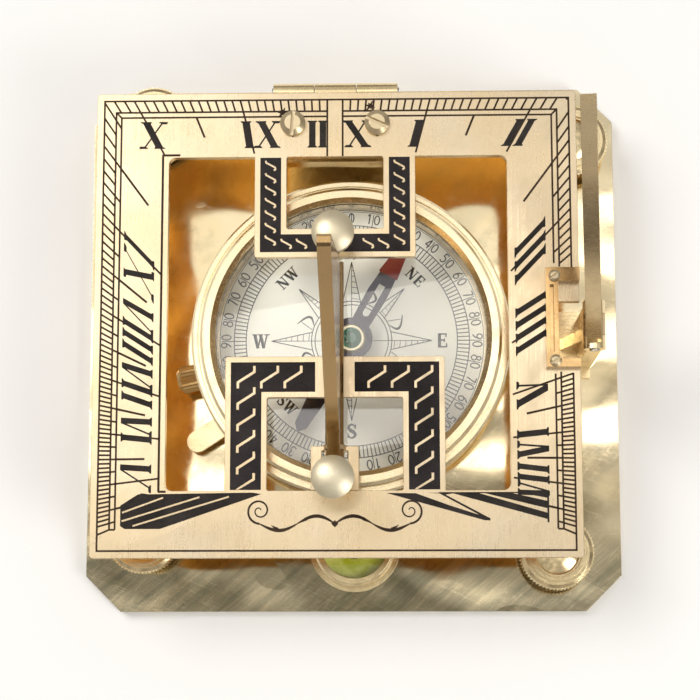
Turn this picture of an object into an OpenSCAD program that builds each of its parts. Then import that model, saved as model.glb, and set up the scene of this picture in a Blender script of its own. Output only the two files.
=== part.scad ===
// Pocket sundial with a compass, a bull's-eye level and a folding latitude arc.
// Frame: origin at the middle of the base plate's underside, +Z up, +Y towards the dial hinge.

/* [Base] */
// Side of the square base plate
base_side = 76; // [74:1:80]
// Thickness of the base plate
base_t = 2; // [2:0.1:2.4]
// Cut at each corner of the base plate
base_cut = 5; // [3:0.5:6]
// North-east levelling screw, east of the middle
screw_ne_x = 31.5; // [28:0.1:32]
// North-east levelling screw, north of the middle
screw_ne_y = 28.8; // [28:0.1:32]
// North-west levelling screw, west of the middle
screw_nw_x = -28.5; // [-30:0.1:-28]
// North-west levelling screw, north of the middle
screw_nw_y = 32; // [28:0.1:32.4]
// South-east levelling screw, east of the middle
screw_se_x = 28.5; // [28:0.1:32]
// South-east levelling screw, south of the middle
screw_se_y = -30; // [-31:0.1:-27]
// South-west levelling screw, west of the middle
screw_sw_x = -29.2; // [-30:0.1:-28]
// South-west levelling screw, south of the middle
screw_sw_y = -27.6; // [-31:0.1:-27]

/* [Levelling screws] */
// Radius of the knurled head
knob_r = 5.3; // [4.5:0.1:5.5]
// Teeth in the knurl
knob_teeth = 64; // [40:2:72]
// Radius of the threaded shank
shank_r = 1.45; // [1.2:0.05:1.6]
// How far a foot can be screwed down
foot_travel = 3; // [2:0.1:3.2]
// Radius of a foot pad
pad_r = 2.6; // [2.2:0.1:2.8]

/* [Compass] */
// Outer radius of the bezel
bezel_r = 22.4; // [22.3:0.1:23]
// Inner radius of the bowl
bowl_r = 19; // [18.5:0.1:19.2]
// Thickness of the bowl wall
bowl_wall = 2.6; // [2:0.1:2.6]
// Height of the bowl rim above the base plate
bowl_h = 8; // [7.5:0.1:8.5]
// Half length of the needle
needle_len = 15.2; // [12:0.1:16]
// Bearing of the north end of the needle, clockwise from the north, in degrees
needle_bearing = 30; // [0:1:359]
// Direction of the lift lever, anticlockwise from the east, in degrees
lever_dir = 212.7; // [205:0.1:220]
// Direction of the bowl lock screw, anticlockwise from the east, in degrees
lock_dir = 193; // [180:0.5:195]

/* [Dial] */
// Width of the dial plate, east to west
dial_w = 66.5; // [66:0.1:66.6]
// Length of the dial plate, north to south
dial_l = 64.5; // [64:0.1:65]
// Thickness of the dial plate
dial_t = 1.2; // [1:0.1:1.4]
// Height of the dial's top face above the base plate
dial_z = 15.4; // [15:0.1:16]
// Middle of the dial plate, east to west
dial_x = -1.88; // [-2:0.01:-1.8]
// Middle of the dial plate, north to south
dial_y = 1.1; // [1:0.05:1.2]
// East-west place of the noon line, the gnomon and both posts
noon_x = -2; // [-2:0.1:-1.8]

/* [Gnomon] */
// Thickness of the blade
blade_t = 1.7; // [1.4:0.1:1.8]
// Height of the blade's top above the dial
blade_h = 36.5; // [34:0.5:37]
// Radius of the gnomon pin
gnomon_pin_r = 0.6; // [0.5:0.05:0.6]
// Height of the gnomon pin above the dial
gnomon_pin_h = 1.5; // [1.5:0.05:1.6]
// Radius of the post heads
post_head_r = 2.85; // [2.5:0.05:3]
// Height of the posts above the dial
post_h = 9.6; // [9:0.1:11]

/* [Latitude arc] */
// Inner radius of the arc about the dial hinge
arc_r_in = 31.3; // [31.2:0.1:31.5]
// Outer radius of the arc about the dial hinge
arc_r_out = 37.6; // [37:0.1:37.7]
// Thickness of the arc
arc_t = 2; // [1.6:0.1:2]
// Angle of the arc's top end above the hinge's level, in degrees
arc_top = 73; // [68:1:76]
// How far the arc leans inward, in degrees
arc_lean = 6; // [5:0.5:6]
// Height of the arc pin above the base plate
arc_pin_h = 18.5; // [18.4:0.1:19]
// East-west place of the arc pin
arc_pin_x = 33; // [33:0.1:33.4]

/* [Hidden] */
$fn = 64;

// Colours
BRASS = [0.86, 0.74, 0.50];
DARK_BRASS = [0.70, 0.56, 0.32];
STEEL = [0.35, 0.36, 0.38];
CARD = [0.95, 0.93, 0.86];
GLASS = [0.85, 0.92, 0.92, 0.4];
FLUID = [0.75, 0.80, 0.25, 0.8];
JEWEL = [0.05, 0.55, 0.35];

// Small play between a screw or pin and its hole
play = 0.03;
run = 0.05;
eps = 0.01;

base_top = base_t;
dial_top = base_top + dial_z;
dial_under = dial_top - dial_t;

// Levelling screws
knob_low = base_top + foot_travel + 0.4;
pad_top = 1;
pad_low = 0.1;
pad_recess = 1.1;
pad_tip_r = 0.9;

// Compass
bowl_floor = 1.2;
bowl_outer = bowl_r + bowl_wall;
bowl_top = base_top + bowl_h;
glass_r = 20.3;
glass_t = 1;
card_top = base_top + 4.6;
card_t = 0.4;
card_hole_r = 2.5;
needle_z = base_top + 6.4;
needle_t = 0.3;
hub_r = 3;
cap_r = 2.1;
pivot_r = 0.45;
lever_z = base_top + 2.6;
lever_t = 0.8;
lever_w = 3;
lever_slot = lever_w + 0.4;
lever_reach = 27.6;
fulcrum_r = 20.3;
fulcrum_z = lever_z + lever_t / 2;
lever_pin_r = 0.3;
collar_low = lever_z + lever_t + 0.05;
lock_z = base_top + 4.6;
lock_head_r = 1.9;

// Bull's-eye level
level_x = 0.3;
level_y = -28.8;
level_r = 6.5;
level_in = 4.7;
level_top = base_top + 4;
bubble_r = 1.5;

// Dial hinge, the axis that the dial and the arc share
hinge_y = 34.1;
hinge_z = base_top + 12.8;
hinge_r = 1.3;
hinge_pin_r = 0.7;
knuckle = 5.8;
hinge_w = 3 * knuckle;
knuckle_gap = 0.1;
leaf_t = dial_under - hinge_z - 0.4;
leaf_south = 26;
leaf_north = 32.4;
stand_wall_s = 32.9;
stand_wall_n = 35.2;
hinge_screw_dx = 5.85;
hinge_screw_y = 28.9;

// Window of the dial
window_w = dial_x - dial_w / 2 + 10.1;
window_e = dial_x + dial_w / 2 - 9.66;
window_n = dial_y + dial_l / 2 - 9.15;
window_s = dial_y - dial_l / 2 + 9.07;
// Upper tongue: half width, south end, leg and bar widths
upper_half = 11.1;
upper_s = 10;
upper_leg = 4.4;
upper_bar = 4;
// Lower tongue: half width, north end, leg and bar widths
lower_half = 14.95;
lower_n = -3.8;
lower_leg = 5.7;
lower_bar = 5.6;

// Gnomon and posts
gnomon_z = dial_top + gnomon_pin_h;
barrel_r = 1.25;
foot_y = -18.5;
blade_n = 8.9;
lug_r = 1.5;
block_s = window_s;
block_n = -16.1;
block_half = 3.25;
block_top = dial_top + 0.2;
block_low = dial_under - 1.4;
mortise_half = 1.8;
mortise_n = block_n - 0.65;
mortise_s = foot_y - 0.05;
tongue_s = -27;
lug_s = -19.7;
north_post_y = 11.8;
south_post_y = -20.95;
dome_h = 1;
north_stem_r = 1.5;
south_stem_r = 1.05;
post_screw_r = 0.9;

// Arc, its stand and its guide on the dial's east margin
arc_z = base_top + arc_pin_h;
arc_knuckle_r = 1.5;
arc_pin_r = 0.7;
arc_knuckle = 3;
stem_s = -1.6;
stand_s = -3.5;
stand_n = 3.1;
dial_east = dial_x + dial_w / 2;
notch_w = 28.4;
notch_n = 3.6;
notch_s = -4.1;
guide_w = 26.7;
guide_n = 8.1;
guide_s = -5.6;
guide_h = 1.6;
guide_foot = 1.9;
guide_screw_x = 27.9;
guide_screw_y = [guide_s + 0.85, guide_n - 1.2];
guide_screw_r = 0.8;

// A rounded rectangle, drawn with straight sides and four round corners
module rounded_rect(w, e, s, n, r) {
    translate([w, s + r]) square([e - w, n - s - 2 * r]);
    translate([w + r, s]) square([e - w - 2 * r, n - s]);
    for (x = [w + r, e - r], y = [s + r, n - r])
        translate([x, y]) circle(r = r, $fn = 32);
}

// A block between two corners
module block(low, high) {
    translate(low) cube(high - low);
}

// A ring or disc between two heights
module ring(r_out, r_in, low, high) {
    difference() {
        translate([0, 0, low]) cylinder(r = r_out, h = high - low);
        if (r_in > 0) translate([0, 0, low - 1]) cylinder(r = r_in, h = high - low + 2);
    }
}

// A cylinder along Y between two stations, on a line at x, z
module rod_y(x, z, r, south, north) {
    translate([x, north, z]) rotate([90, 0, 0]) cylinder(r = r, h = north - south);
}

// A cylinder along X between two stations, on a line at y, z
module rod_x(y, z, r, west, east) {
    translate([west, y, z]) rotate([0, 90, 0]) cylinder(r = r, h = east - west);
}

// A countersunk screw driven upwards, with its head at the bottom
module screw_up(head_r, shank, low, high) {
    difference() {
        union() {
            translate([0, 0, low]) cylinder(r1 = head_r, r2 = shank, h = head_r - shank);
            translate([0, 0, low]) cylinder(r = shank, h = high - low);
        }
        translate([-head_r, -0.2, low - 1]) cube([2 * head_r, 0.4, 1.35]);
    }
}

// The hole that screw_up() fits
module screw_up_hole(head_r, shank, low, high) {
    translate([0, 0, low - 1]) cylinder(r = head_r + play, h = 1 + eps);
    translate([0, 0, low]) cylinder(r1 = head_r + play, r2 = shank + play, h = head_r - shank);
    translate([0, 0, low]) cylinder(r = shank + play, h = high - low + 0.1);
}

// A slotted screw with a low domed head on top, at height z
module slotted_screw(head_r, head_h, shank, z, depth, slot_dir) {
    difference() {
        union() {
            translate([0, 0, z]) cylinder(r = head_r, h = head_h * 0.55);
            translate([0, 0, z + head_h * 0.55]) cylinder(r1 = head_r, r2 = head_r * 0.62, h = head_h * 0.45);
            translate([0, 0, z - depth]) cylinder(r = shank, h = depth + eps);
        }
        rotate([0, 0, slot_dir])
            translate([-head_r - 1, -head_r * 0.14, z + head_h * 0.45])
                cube([2 * head_r + 2, head_r * 0.28, head_h]);
    }
}

// Outline of a knurled disc: pointed teeth round a circle
module knurl(r, teeth, depth) {
    polygon([for (i = [0 : 2 * teeth - 1])
        let (rr = i % 2 == 0 ? r : r - depth, a = 180 * i / teeth)
        [rr * cos(a), rr * sin(a)]]);
}

function screw_place(east, north) =
    north > 0 ? (east > 0 ? [screw_ne_x, screw_ne_y] : [screw_nw_x, screw_nw_y])
              : (east > 0 ? [screw_se_x, screw_se_y] : [screw_sw_x, screw_sw_y]);

bowl_screw_r = 13;
bowl_screw_dirs = [90, 210, 330];
hinge_foot_y = 29.6;
arc_foot_x = 28.6;
arc_foot_w = 26;
arc_foot_y = [-3.4, 3];

// Places of the screws that come up through the base plate
module at_bowl_screws() {
    for (a = bowl_screw_dirs)
        rotate([0, 0, a]) translate([bowl_screw_r, 0, 0]) children();
}

module at_hinge_stand_screws() {
    for (s = [-1, 1])
        translate([noon_x + s * 6, hinge_foot_y, 0]) children();
}

module at_arc_stand_screws() {
    for (y = arc_foot_y)
        translate([arc_foot_x, y, 0]) children();
}

// ---- Base ----

module base_plate() {
    h = base_side / 2;
    c = h - base_cut;
    color(BRASS) difference() {
        linear_extrude(base_t)
            polygon([[-c, -h], [c, -h], [h, -c], [h, c], [c, h], [-c, h], [-h, c], [-h, -c]]);
        for (e = [-1, 1], n = [-1, 1])
            translate(screw_place(e, n)) {
                translate([0, 0, -1]) cylinder(r = shank_r + run, h = base_t + 2);
                translate([0, 0, -1]) cylinder(r = pad_r + 0.3, h = pad_recess + 1);
            }
        at_bowl_screws() screw_up_hole(1.7, 0.8, 0.1, base_t);
        at_hinge_stand_screws() screw_up_hole(1.7, 0.8, 0.1, base_t);
        at_arc_stand_screws() screw_up_hole(1.5, 0.6, 0.1, base_t);
    }
}

module levelling_screw(e, n) {
    color(BRASS) translate(screw_place(e, n)) {
        translate([0, 0, pad_top - 0.5]) cylinder(r = pad_tip_r, h = 0.6);
        translate([0, 0, pad_top + 0.05]) cylinder(r = shank_r, h = knob_low - pad_top);
        translate([0, 0, knob_low]) cylinder(r = knob_r - 0.5, h = 0.4);
        translate([0, 0, knob_low + 0.4])
            linear_extrude(2) knurl(knob_r, knob_teeth, 0.28);
        translate([0, 0, knob_low + 2.4]) cylinder(r1 = knob_r - 0.35, r2 = knob_r - 0.8, h = 0.3);
        difference() {
            translate([0, 0, knob_low + 2.7]) cylinder(r = knob_r - 1.3, h = 0.5);
            translate([0, 0, knob_low + 2.75]) cylinder(r = knob_r - 1.9, h = 1);
        }
        translate([0, 0, knob_low + 2.75 - 4.9])
            intersection() {
                sphere(r = 5.8);
                translate([0, 0, 4.9]) cylinder(r = 3.1, h = 2);
            }
    }
}

module levelling_screw_ne() { levelling_screw(1, 1); }
module levelling_screw_nw() { levelling_screw(-1, 1); }
module levelling_screw_se() { levelling_screw(1, -1); }
module levelling_screw_sw() { levelling_screw(-1, -1); }

module foot_pad(e, n) {
    color(DARK_BRASS) translate(screw_place(e, n))
        difference() {
            union() {
                translate([0, 0, pad_low]) cylinder(r1 = pad_r - 0.3, r2 = pad_r, h = 0.3);
                translate([0, 0, pad_low + 0.3]) cylinder(r = pad_r, h = pad_top - pad_low - 0.3);
            }
            translate([0, 0, pad_top - 0.55]) cylinder(r = pad_tip_r + run, h = 1);
        }
}

module foot_pad_ne() { foot_pad(1, 1); }
module foot_pad_nw() { foot_pad(-1, 1); }
module foot_pad_se() { foot_pad(1, -1); }
module foot_pad_sw() { foot_pad(-1, -1); }

// ---- Compass ----

module compass_bowl() {
    color(BRASS) difference() {
        union() {
            ring(bowl_outer, 0, base_top, bowl_top);
            ring(bowl_outer + 0.6, bowl_outer - 1, base_top, base_top + 1);
        }
        translate([0, 0, base_top + bowl_floor]) cylinder(r = bowl_r, h = bowl_h);
        // Seat of the pivot post
        translate([0, 0, base_top - 1]) cylinder(r = 1.2 + play, h = 3);
        at_bowl_screws() translate([0, 0, base_top - 1]) cylinder(r = 0.8 + play, h = 4);
        // Slot of the lift lever
        rotate([0, 0, lever_dir])
            block([bowl_r - 2, -lever_slot / 2, lever_z - 0.6],
                  [bowl_outer + 2, lever_slot / 2, lever_z + lever_t + 0.6]);
        rotate([0, 0, lever_dir])
            rod_y(fulcrum_r, fulcrum_z, lever_pin_r + play, -lever_w / 2 - 1, lever_w / 2 + 1);
        // Hole of the lock screw
        rotate([0, 0, lock_dir]) rod_x(0, lock_z, 1.05, bowl_r - 2, bowl_outer + 2);
    }
    // Ledge that carries the card
    color(BRASS) difference() {
        ring(bowl_r + 0.2, bowl_r - 1.4, card_top - card_t - 0.7, card_top - card_t);
        rotate([0, 0, lever_dir])
            block([bowl_r - 3, -lever_slot / 2, lever_z - 0.6],
                  [bowl_outer + 2, lever_slot / 2, card_top + 1]);
        rotate([0, 0, lock_dir]) rod_x(0, lock_z, 1.05, bowl_r - 2, bowl_outer + 2);
    }
}

module bowl_screws() {
    color(DARK_BRASS) at_bowl_screws() screw_up(1.7, 0.8, 0.1, base_top + bowl_floor);
}

module bezel_ring() {
    z = bowl_top;
    color(BRASS) rotate_extrude(convexity = 6)
        polygon([
            [bowl_outer + 0.03, z - 1.2], [bezel_r - 0.3, z - 1.2], [bezel_r, z - 0.9],
            [bezel_r, z + 0.7], [bezel_r - 0.3, z + 1], [bezel_r - 0.9, z + 1],
            [bezel_r - 0.9, z + 0.6], [bezel_r - 1.3, z + 0.6], [bezel_r - 1.3, z + 1.6],
            [bezel_r - 1.7, z + 2], [bezel_r - 2.7, z + 2], [bezel_r - 3.4, z + 1.45],
            [bezel_r - 3.4, z + glass_t + 0.02], [glass_r + play, z + glass_t + 0.02],
            [glass_r + play, z + 0.02], [bowl_outer + 0.03, z + 0.02]
        ]);
}

module compass_glass() {
    color(GLASS) translate([0, 0, bowl_top]) cylinder(r = glass_r, h = glass_t);
}

module compass_card() {
    color(CARD) ring(bowl_r - 0.1, card_hole_r, card_top - card_t, card_top);
}

module needle_pivot() {
    color(STEEL) {
        translate([0, 0, base_top + 0.02]) cylinder(r = 1.2, h = 2);
        translate([0, 0, base_top + 2]) cylinder(r = pivot_r, h = needle_z - base_top - 2);
        translate([0, 0, needle_z - eps]) cylinder(r1 = pivot_r, r2 = 0.08, h = 0.5);
    }
}

// Outline of one arm of the needle, pointing along +Y, with a slot when it is the north arm
module needle_arm(slotted) {
    difference() {
        polygon([[-1.25, 0], [-1.5, hub_r + 4.5], [-0.9, needle_len - 1], [0, needle_len],
                 [0.9, needle_len - 1], [1.5, hub_r + 4.5], [1.25, 0]]);
        if (slotted) {
            translate([-0.5, hub_r + 1.2]) square([1, 4.6]);
            translate([0, hub_r + 1.2]) circle(r = 0.5, $fn = 24);
        }
    }
}

module compass_needle() {
    color(STEEL) rotate([0, 0, -needle_bearing])
        translate([0, 0, needle_z])
            linear_extrude(needle_t)
                difference() {
                    union() {
                        needle_arm(true);
                        rotate(180) needle_arm(false);
                        circle(r = hub_r);
                    }
                    circle(r = 1.6);
                }
}

module needle_cap() {
    color(BRASS) difference() {
        union() {
            translate([0, 0, needle_z]) cylinder(r = 1.6 - play, h = needle_t);
            translate([0, 0, needle_z + needle_t]) cylinder(r1 = cap_r, r2 = cap_r - 0.3, h = 0.7);
        }
        translate([0, 0, needle_z - 1]) cylinder(r = 0.9, h = 1.7);
        translate([0, 0, needle_z + needle_t + 0.3]) cylinder(r = 1.5, h = 1);
        translate([0, 0, needle_z + needle_t]) cylinder(r = 0.9, h = 1);
    }
}

module jewel_bearing() {
    color(JEWEL) difference() {
        union() {
            translate([0, 0, needle_z + needle_t + 0.32]) cylinder(r = 1.45, h = 0.3);
            translate([0, 0, needle_z + needle_t + 0.62]) cylinder(r1 = 1.45, r2 = 0.7, h = 0.3);
        }
        translate([0, 0, needle_z + needle_t]) cylinder(r1 = 0.3, r2 = 0.1, h = 0.42);
    }
}

module lift_collar() {
    color(BRASS) {
        ring(2.1, pivot_r + 0.15, collar_low, collar_low + 0.4);
        ring(1.2, pivot_r + 0.15, collar_low, needle_z - 0.9);
    }
}

module lift_lever() {
    color(BRASS) rotate([0, 0, lever_dir]) difference() {
        union() {
            translate([0, 0, lever_z]) linear_extrude(lever_t) {
                translate([1.3, -0.8]) square([17, 1.6]);
                translate([18, -lever_w / 2]) square([lever_reach - lever_w / 2 - 18, lever_w]);
                translate([lever_reach - lever_w / 2, 0]) circle(r = lever_w / 2);
            }
        }
        translate([0, 0, lever_z - 1]) cylinder(r = 1.5, h = 3);
        rod_y(fulcrum_r, fulcrum_z, lever_pin_r + run, -3, 3);
    }
}

module lever_pin() {
    color(STEEL) rotate([0, 0, lever_dir])
        rod_y(fulcrum_r, fulcrum_z, lever_pin_r, -lever_w / 2 - 0.9, lever_w / 2 + 0.9);
}

module bowl_lock_screw() {
    color(DARK_BRASS) rotate([0, 0, lock_dir]) difference() {
        union() {
            rod_x(0, lock_z, 1, bowl_r + 0.1, bowl_outer + 0.7);
            translate([bowl_outer + 0.3, 0, lock_z]) rotate([0, 90, 0]) cylinder(r = 1.4, h = 0.5);
            translate([bowl_outer + 0.8, 0, lock_z]) rotate([0, 90, 0])
                linear_extrude(2.4) knurl(lock_head_r, 20, 0.2);
            translate([bowl_outer + 3.2, 0, lock_z]) rotate([0, 90, 0])
                cylinder(r1 = lock_head_r - 0.25, r2 = lock_head_r - 0.7, h = 0.5);
        }
        block([bowl_outer + 3, -3, lock_z - 0.25], [bowl_outer + 5, 3, lock_z + 0.25]);
    }
}

// ---- Bull's-eye level ----

module level_housing() {
    color(BRASS) translate([level_x, level_y, 0]) difference() {
        union() {
            ring(level_r, 0, base_top, base_top + 1.2);
            ring(level_in + 1, 0, base_top + 1.2, level_top - 0.3);
            translate([0, 0, level_top - 0.3])
                cylinder(r1 = level_in + 1, r2 = level_in + 0.7, h = 0.3);
        }
        translate([0, 0, base_top + 0.6]) cylinder(r = level_in, h = 5);
    }
}

module level_fluid() {
    color(FLUID) translate([level_x, level_y, 0]) difference() {
        translate([0, 0, base_top + 0.6]) cylinder(r = level_in - 0.02, h = 2.5);
        // The bubble
        translate([-0.5, 0.3, base_top + 3.1]) sphere(r = bubble_r);
    }
}

module level_glass() {
    color(GLASS) translate([level_x, level_y, base_top + 3.12])
        cylinder(r = level_in - 0.02, h = 0.85);
}

// ---- Dial hinge ----

module hinge_stand() {
    w = noon_x - hinge_w / 2;
    e = noon_x + hinge_w / 2;
    mid_w = noon_x - knuckle / 2;
    mid_e = noon_x + knuckle / 2;
    color(BRASS) difference() {
        union() {
            block([w, 27, base_top], [e, stand_wall_n, base_top + 1.6]);
            block([w, stand_wall_s, base_top + 1], [e, stand_wall_n, hinge_z - hinge_r - 0.2]);
            for (x = [[w, mid_w - knuckle_gap], [mid_e + knuckle_gap, e]]) {
                block([x[0], stand_wall_s, hinge_z - hinge_r - 1], [x[1], stand_wall_n, hinge_z]);
                rod_x(hinge_y, hinge_z, hinge_r, x[0], x[1]);
            }
        }
        rod_x(hinge_y, hinge_z, hinge_pin_r + play, w - 1, e + 1);
        at_hinge_stand_screws() translate([0, 0, base_top - 1]) cylinder(r = 0.8 + play, h = 4);
    }
}

module hinge_pin() {
    color(STEEL) rod_x(hinge_y, hinge_z, hinge_pin_r, noon_x - hinge_w / 2 - 0.2, noon_x + hinge_w / 2 + 0.2);
}

module hinge_stand_screws() {
    color(DARK_BRASS) at_hinge_stand_screws() screw_up(1.7, 0.8, 0.1, base_top + 1.5);
}

module hinge_leaf() {
    w = noon_x - hinge_w / 2;
    e = noon_x + hinge_w / 2;
    color(BRASS) difference() {
        union() {
            block([w, leaf_south, dial_under - leaf_t], [e, leaf_north, dial_under]);
            block([noon_x - knuckle / 2, leaf_north - 0.1, dial_under - leaf_t],
                  [noon_x + knuckle / 2, hinge_y, hinge_z + hinge_r]);
            rod_x(hinge_y, hinge_z, hinge_r, noon_x - knuckle / 2, noon_x + knuckle / 2);
        }
        rod_x(hinge_y, hinge_z, hinge_pin_r + run, w - 1, e + 1);
        for (s = [-1, 1])
            translate([noon_x + s * hinge_screw_dx, hinge_screw_y, dial_under - 3])
                cylinder(r = 0.8 + play, h = 6);
    }
}

module hinge_screws() {
    color(BRASS) for (s = [-1, 1])
        translate([noon_x + s * hinge_screw_dx, hinge_screw_y, 0])
            slotted_screw(1.75, 1.1, 0.8, dial_top, dial_t + leaf_t, 30 - s * 55);
}

// ---- Dial ----

module dial_outline() {
    difference() {
        rounded_rect(dial_x - dial_w / 2, dial_east, dial_y - dial_l / 2, dial_y + dial_l / 2, 0.5);
        difference() {
            rounded_rect(window_w, window_e, window_s, window_n, 1);
            // Upper tongue, left standing inside the window
            difference() {
                rounded_rect(noon_x - upper_half, noon_x + upper_half, upper_s, window_n + 2, 0.4);
                rounded_rect(noon_x - upper_half + upper_leg, noon_x + upper_half - upper_leg,
                             upper_s + upper_bar, window_n, 0.3);
            }
            // Lower tongue
            difference() {
                rounded_rect(noon_x - lower_half, noon_x + lower_half, window_s - 2, lower_n, 0.4);
                rounded_rect(noon_x - lower_half + lower_leg, noon_x + lower_half - lower_leg,
                             window_s, lower_n - lower_bar, 0.3);
            }
        }
        // Notch that the latitude arc passes through
        translate([notch_w, notch_s]) square([dial_east - notch_w + 1, notch_n - notch_s]);
    }
}

module dial_plate() {
    color(BRASS) difference() {
        translate([0, 0, dial_under]) linear_extrude(dial_t) dial_outline();
        for (s = [-1, 1])
            translate([noon_x + s * hinge_screw_dx, hinge_screw_y, dial_under - 1])
                cylinder(r = 0.8 + play, h = 4);
        translate([noon_x, north_post_y, dial_under - 1]) cylinder(r = post_screw_r + play, h = 4);
        for (s = [-1, 1])
            translate([noon_x + s * 2, tongue_s + 1.8, dial_under - 1]) cylinder(r = 0.6 + play, h = 1.8);
        for (y = guide_screw_y)
            translate([guide_screw_x, y, dial_under - 1]) cylinder(r = 0.5 + play, h = 4);
    }
}

// ---- Gnomon ----

module gnomon_blade() {
    top_z = dial_top + blade_h;
    color(BRASS) difference() {
        union() {
            difference() {
                translate([noon_x - blade_t / 2, 0, 0])
                    rotate([90, 0, 90])
                        linear_extrude(blade_t)
                            polygon([[foot_y, gnomon_z], [foot_y, gnomon_z + barrel_r],
                                     [3.9, top_z - 0.3], [4.3, top_z], [5.1, top_z],
                                     [5.4, top_z - 0.3], [blade_n, gnomon_z]]);
                block([noon_x - 2, mortise_n, gnomon_z - 2],
                      [noon_x + 2, block_n + 0.05, gnomon_z + lug_r + 0.15]);
            }
            rod_y(noon_x, gnomon_z, barrel_r, foot_y, mortise_n);
            rod_y(noon_x, gnomon_z, barrel_r, block_n + 0.05, blade_n);
        }
        rod_y(noon_x, gnomon_z, gnomon_pin_r + run, foot_y - 1, blade_n + 1);
    }
}

module gnomon_pin() {
    color(STEEL) rod_y(noon_x, gnomon_z, gnomon_pin_r, lug_s, north_post_y - 0.3);
}

module bearing_block() {
    color(BRASS) difference() {
        union() {
            block([noon_x - block_half, block_s + 0.02, block_low],
                  [noon_x + block_half, block_n, block_top]);
            // Tongue that is screwed under the dial's south margin
            block([noon_x - block_half, tongue_s, block_low], [noon_x + block_half, block_s + 1, dial_under]);
            // Lugs that hold the gnomon pin
            for (y = [[mortise_n + 0.05, block_n], [lug_s, mortise_s]]) {
                rod_y(noon_x, gnomon_z, lug_r, y[0], y[1]);
                block([noon_x - lug_r, y[0], block_top - 0.5], [noon_x + lug_r, y[1], gnomon_z]);
            }
        }
        block([noon_x - mortise_half, mortise_s, block_low - 1],
              [noon_x + mortise_half, mortise_n + 0.05, gnomon_z + 3]);
        rod_y(noon_x, gnomon_z, gnomon_pin_r + play, -22, -10);
        translate([noon_x, south_post_y, block_low - 1]) cylinder(r = 0.8 + play, h = 8);
        for (s = [-1, 1])
            translate([noon_x + s * 2, tongue_s + 1.8, block_low - 1]) cylinder(r = 0.6 + play, h = 4);
    }
}

module block_screws() {
    color(DARK_BRASS) for (s = [-1, 1])
        translate([noon_x + s * 2, tongue_s + 1.8, 0]) {
            translate([0, 0, block_low - 0.5]) cylinder(r = 1.1, h = 0.5);
            translate([0, 0, block_low - eps]) cylinder(r = 0.6, h = dial_under + 0.7 - block_low);
        }
}

// A post: a stem, a neck and a domed head
module post_body(stem_r, low) {
    top = dial_top + post_h;
    translate([0, 0, low]) cylinder(r = stem_r, h = top - 3.2 - low);
    translate([0, 0, top - 3.2 - eps]) cylinder(r1 = stem_r, r2 = post_head_r, h = 1.2);
    translate([0, 0, top - 2 - 2 * eps]) cylinder(r = post_head_r, h = 2 - dome_h);
    dome_r = (post_head_r * post_head_r + dome_h * dome_h) / (2 * dome_h);
    intersection() {
        translate([0, 0, top - dome_r]) sphere(r = dome_r);
        translate([0, 0, top - dome_h - 3 * eps]) cylinder(r = post_head_r, h = 2);
    }
}

module north_post() {
    color(BRASS) difference() {
        translate([noon_x, north_post_y, 0]) {
            post_body(north_stem_r, dial_top);
            translate([0, 0, dial_under - 1.6]) cylinder(r = post_screw_r, h = dial_t + 1.7);
        }
        rod_y(noon_x, gnomon_z, gnomon_pin_r + play, north_post_y - 3, north_post_y - 0.28);
    }
}

module north_post_nut() {
    color(DARK_BRASS) translate([noon_x, north_post_y, 0]) difference() {
        translate([0, 0, dial_under - 1.4]) cylinder(r = 1.9, h = 1.4, $fn = 6);
        translate([0, 0, dial_under - 2]) cylinder(r = post_screw_r + play, h = 3);
    }
}

module south_post() {
    color(BRASS) translate([noon_x, south_post_y, 0]) {
        post_body(south_stem_r, block_top);
        translate([0, 0, block_low + 0.2]) cylinder(r = 0.8, h = block_top - block_low);
    }
}

// ---- Latitude arc ----

module arc_stand() {
    color(BRASS) difference() {
        union() {
            block([arc_foot_w, -5, base_top], [arc_pin_x + 1, 4.6, base_top + 1.4]);
            block([arc_pin_x - 1, stand_s, base_top], [arc_pin_x + 1, stand_n, arc_z - arc_knuckle_r - 0.15]);
            for (y = [[stand_s, stem_s - 0.1], [stem_s + arc_knuckle - 0.1, stand_n]]) {
                block([arc_pin_x - 1, y[0], arc_z - arc_knuckle_r - 1], [arc_pin_x + 1, y[1], arc_z]);
                rod_y(arc_pin_x, arc_z, arc_knuckle_r, y[0], y[1]);
            }
            // Rib behind the wall
            translate([arc_pin_x - 0.9, 0.6, base_top + 1.3]) rotate([90, 0, 0])
                linear_extrude(1.6) polygon([[0, 0], [-2.4, 0], [0, 9]]);
        }
        rod_y(arc_pin_x, arc_z, arc_pin_r + play, stand_s - 1, stand_n + 1);
        at_arc_stand_screws() translate([0, 0, base_top - 1]) cylinder(r = 0.6 + play, h = 4);
    }
}

module arc_stand_screws() {
    color(DARK_BRASS) at_arc_stand_screws() screw_up(1.5, 0.6, 0.1, base_top + 1.3);
}

module arc_pin() {
    color(STEEL) rod_y(arc_pin_x, arc_z, arc_pin_r, stand_s - 0.2, stand_n + 0.2);
}

// Outline of the arc in the plane of y and z, about the dial hinge
module arc_outline() {
    clear = arc_z + arc_knuckle_r + 0.2;
    reach = 2 * arc_r_out;
    difference() {
        translate([hinge_y, hinge_z]) intersection() {
            difference() {
                circle(r = arc_r_out, $fn = 180);
                circle(r = arc_r_in, $fn = 180);
            }
            polygon([[0, 0], [-reach, 0], [-reach, reach],
                     [-reach * cos(arc_top), reach * sin(arc_top)]]);
        }
        // The bottom end stops clear of the outer knuckles
        translate([-60, 0]) square([120, clear]);
    }
    // Stem that joins the arc to its knuckle
    translate([stem_s, arc_z]) square([arc_knuckle - 0.2, 3.5]);
}

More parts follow.
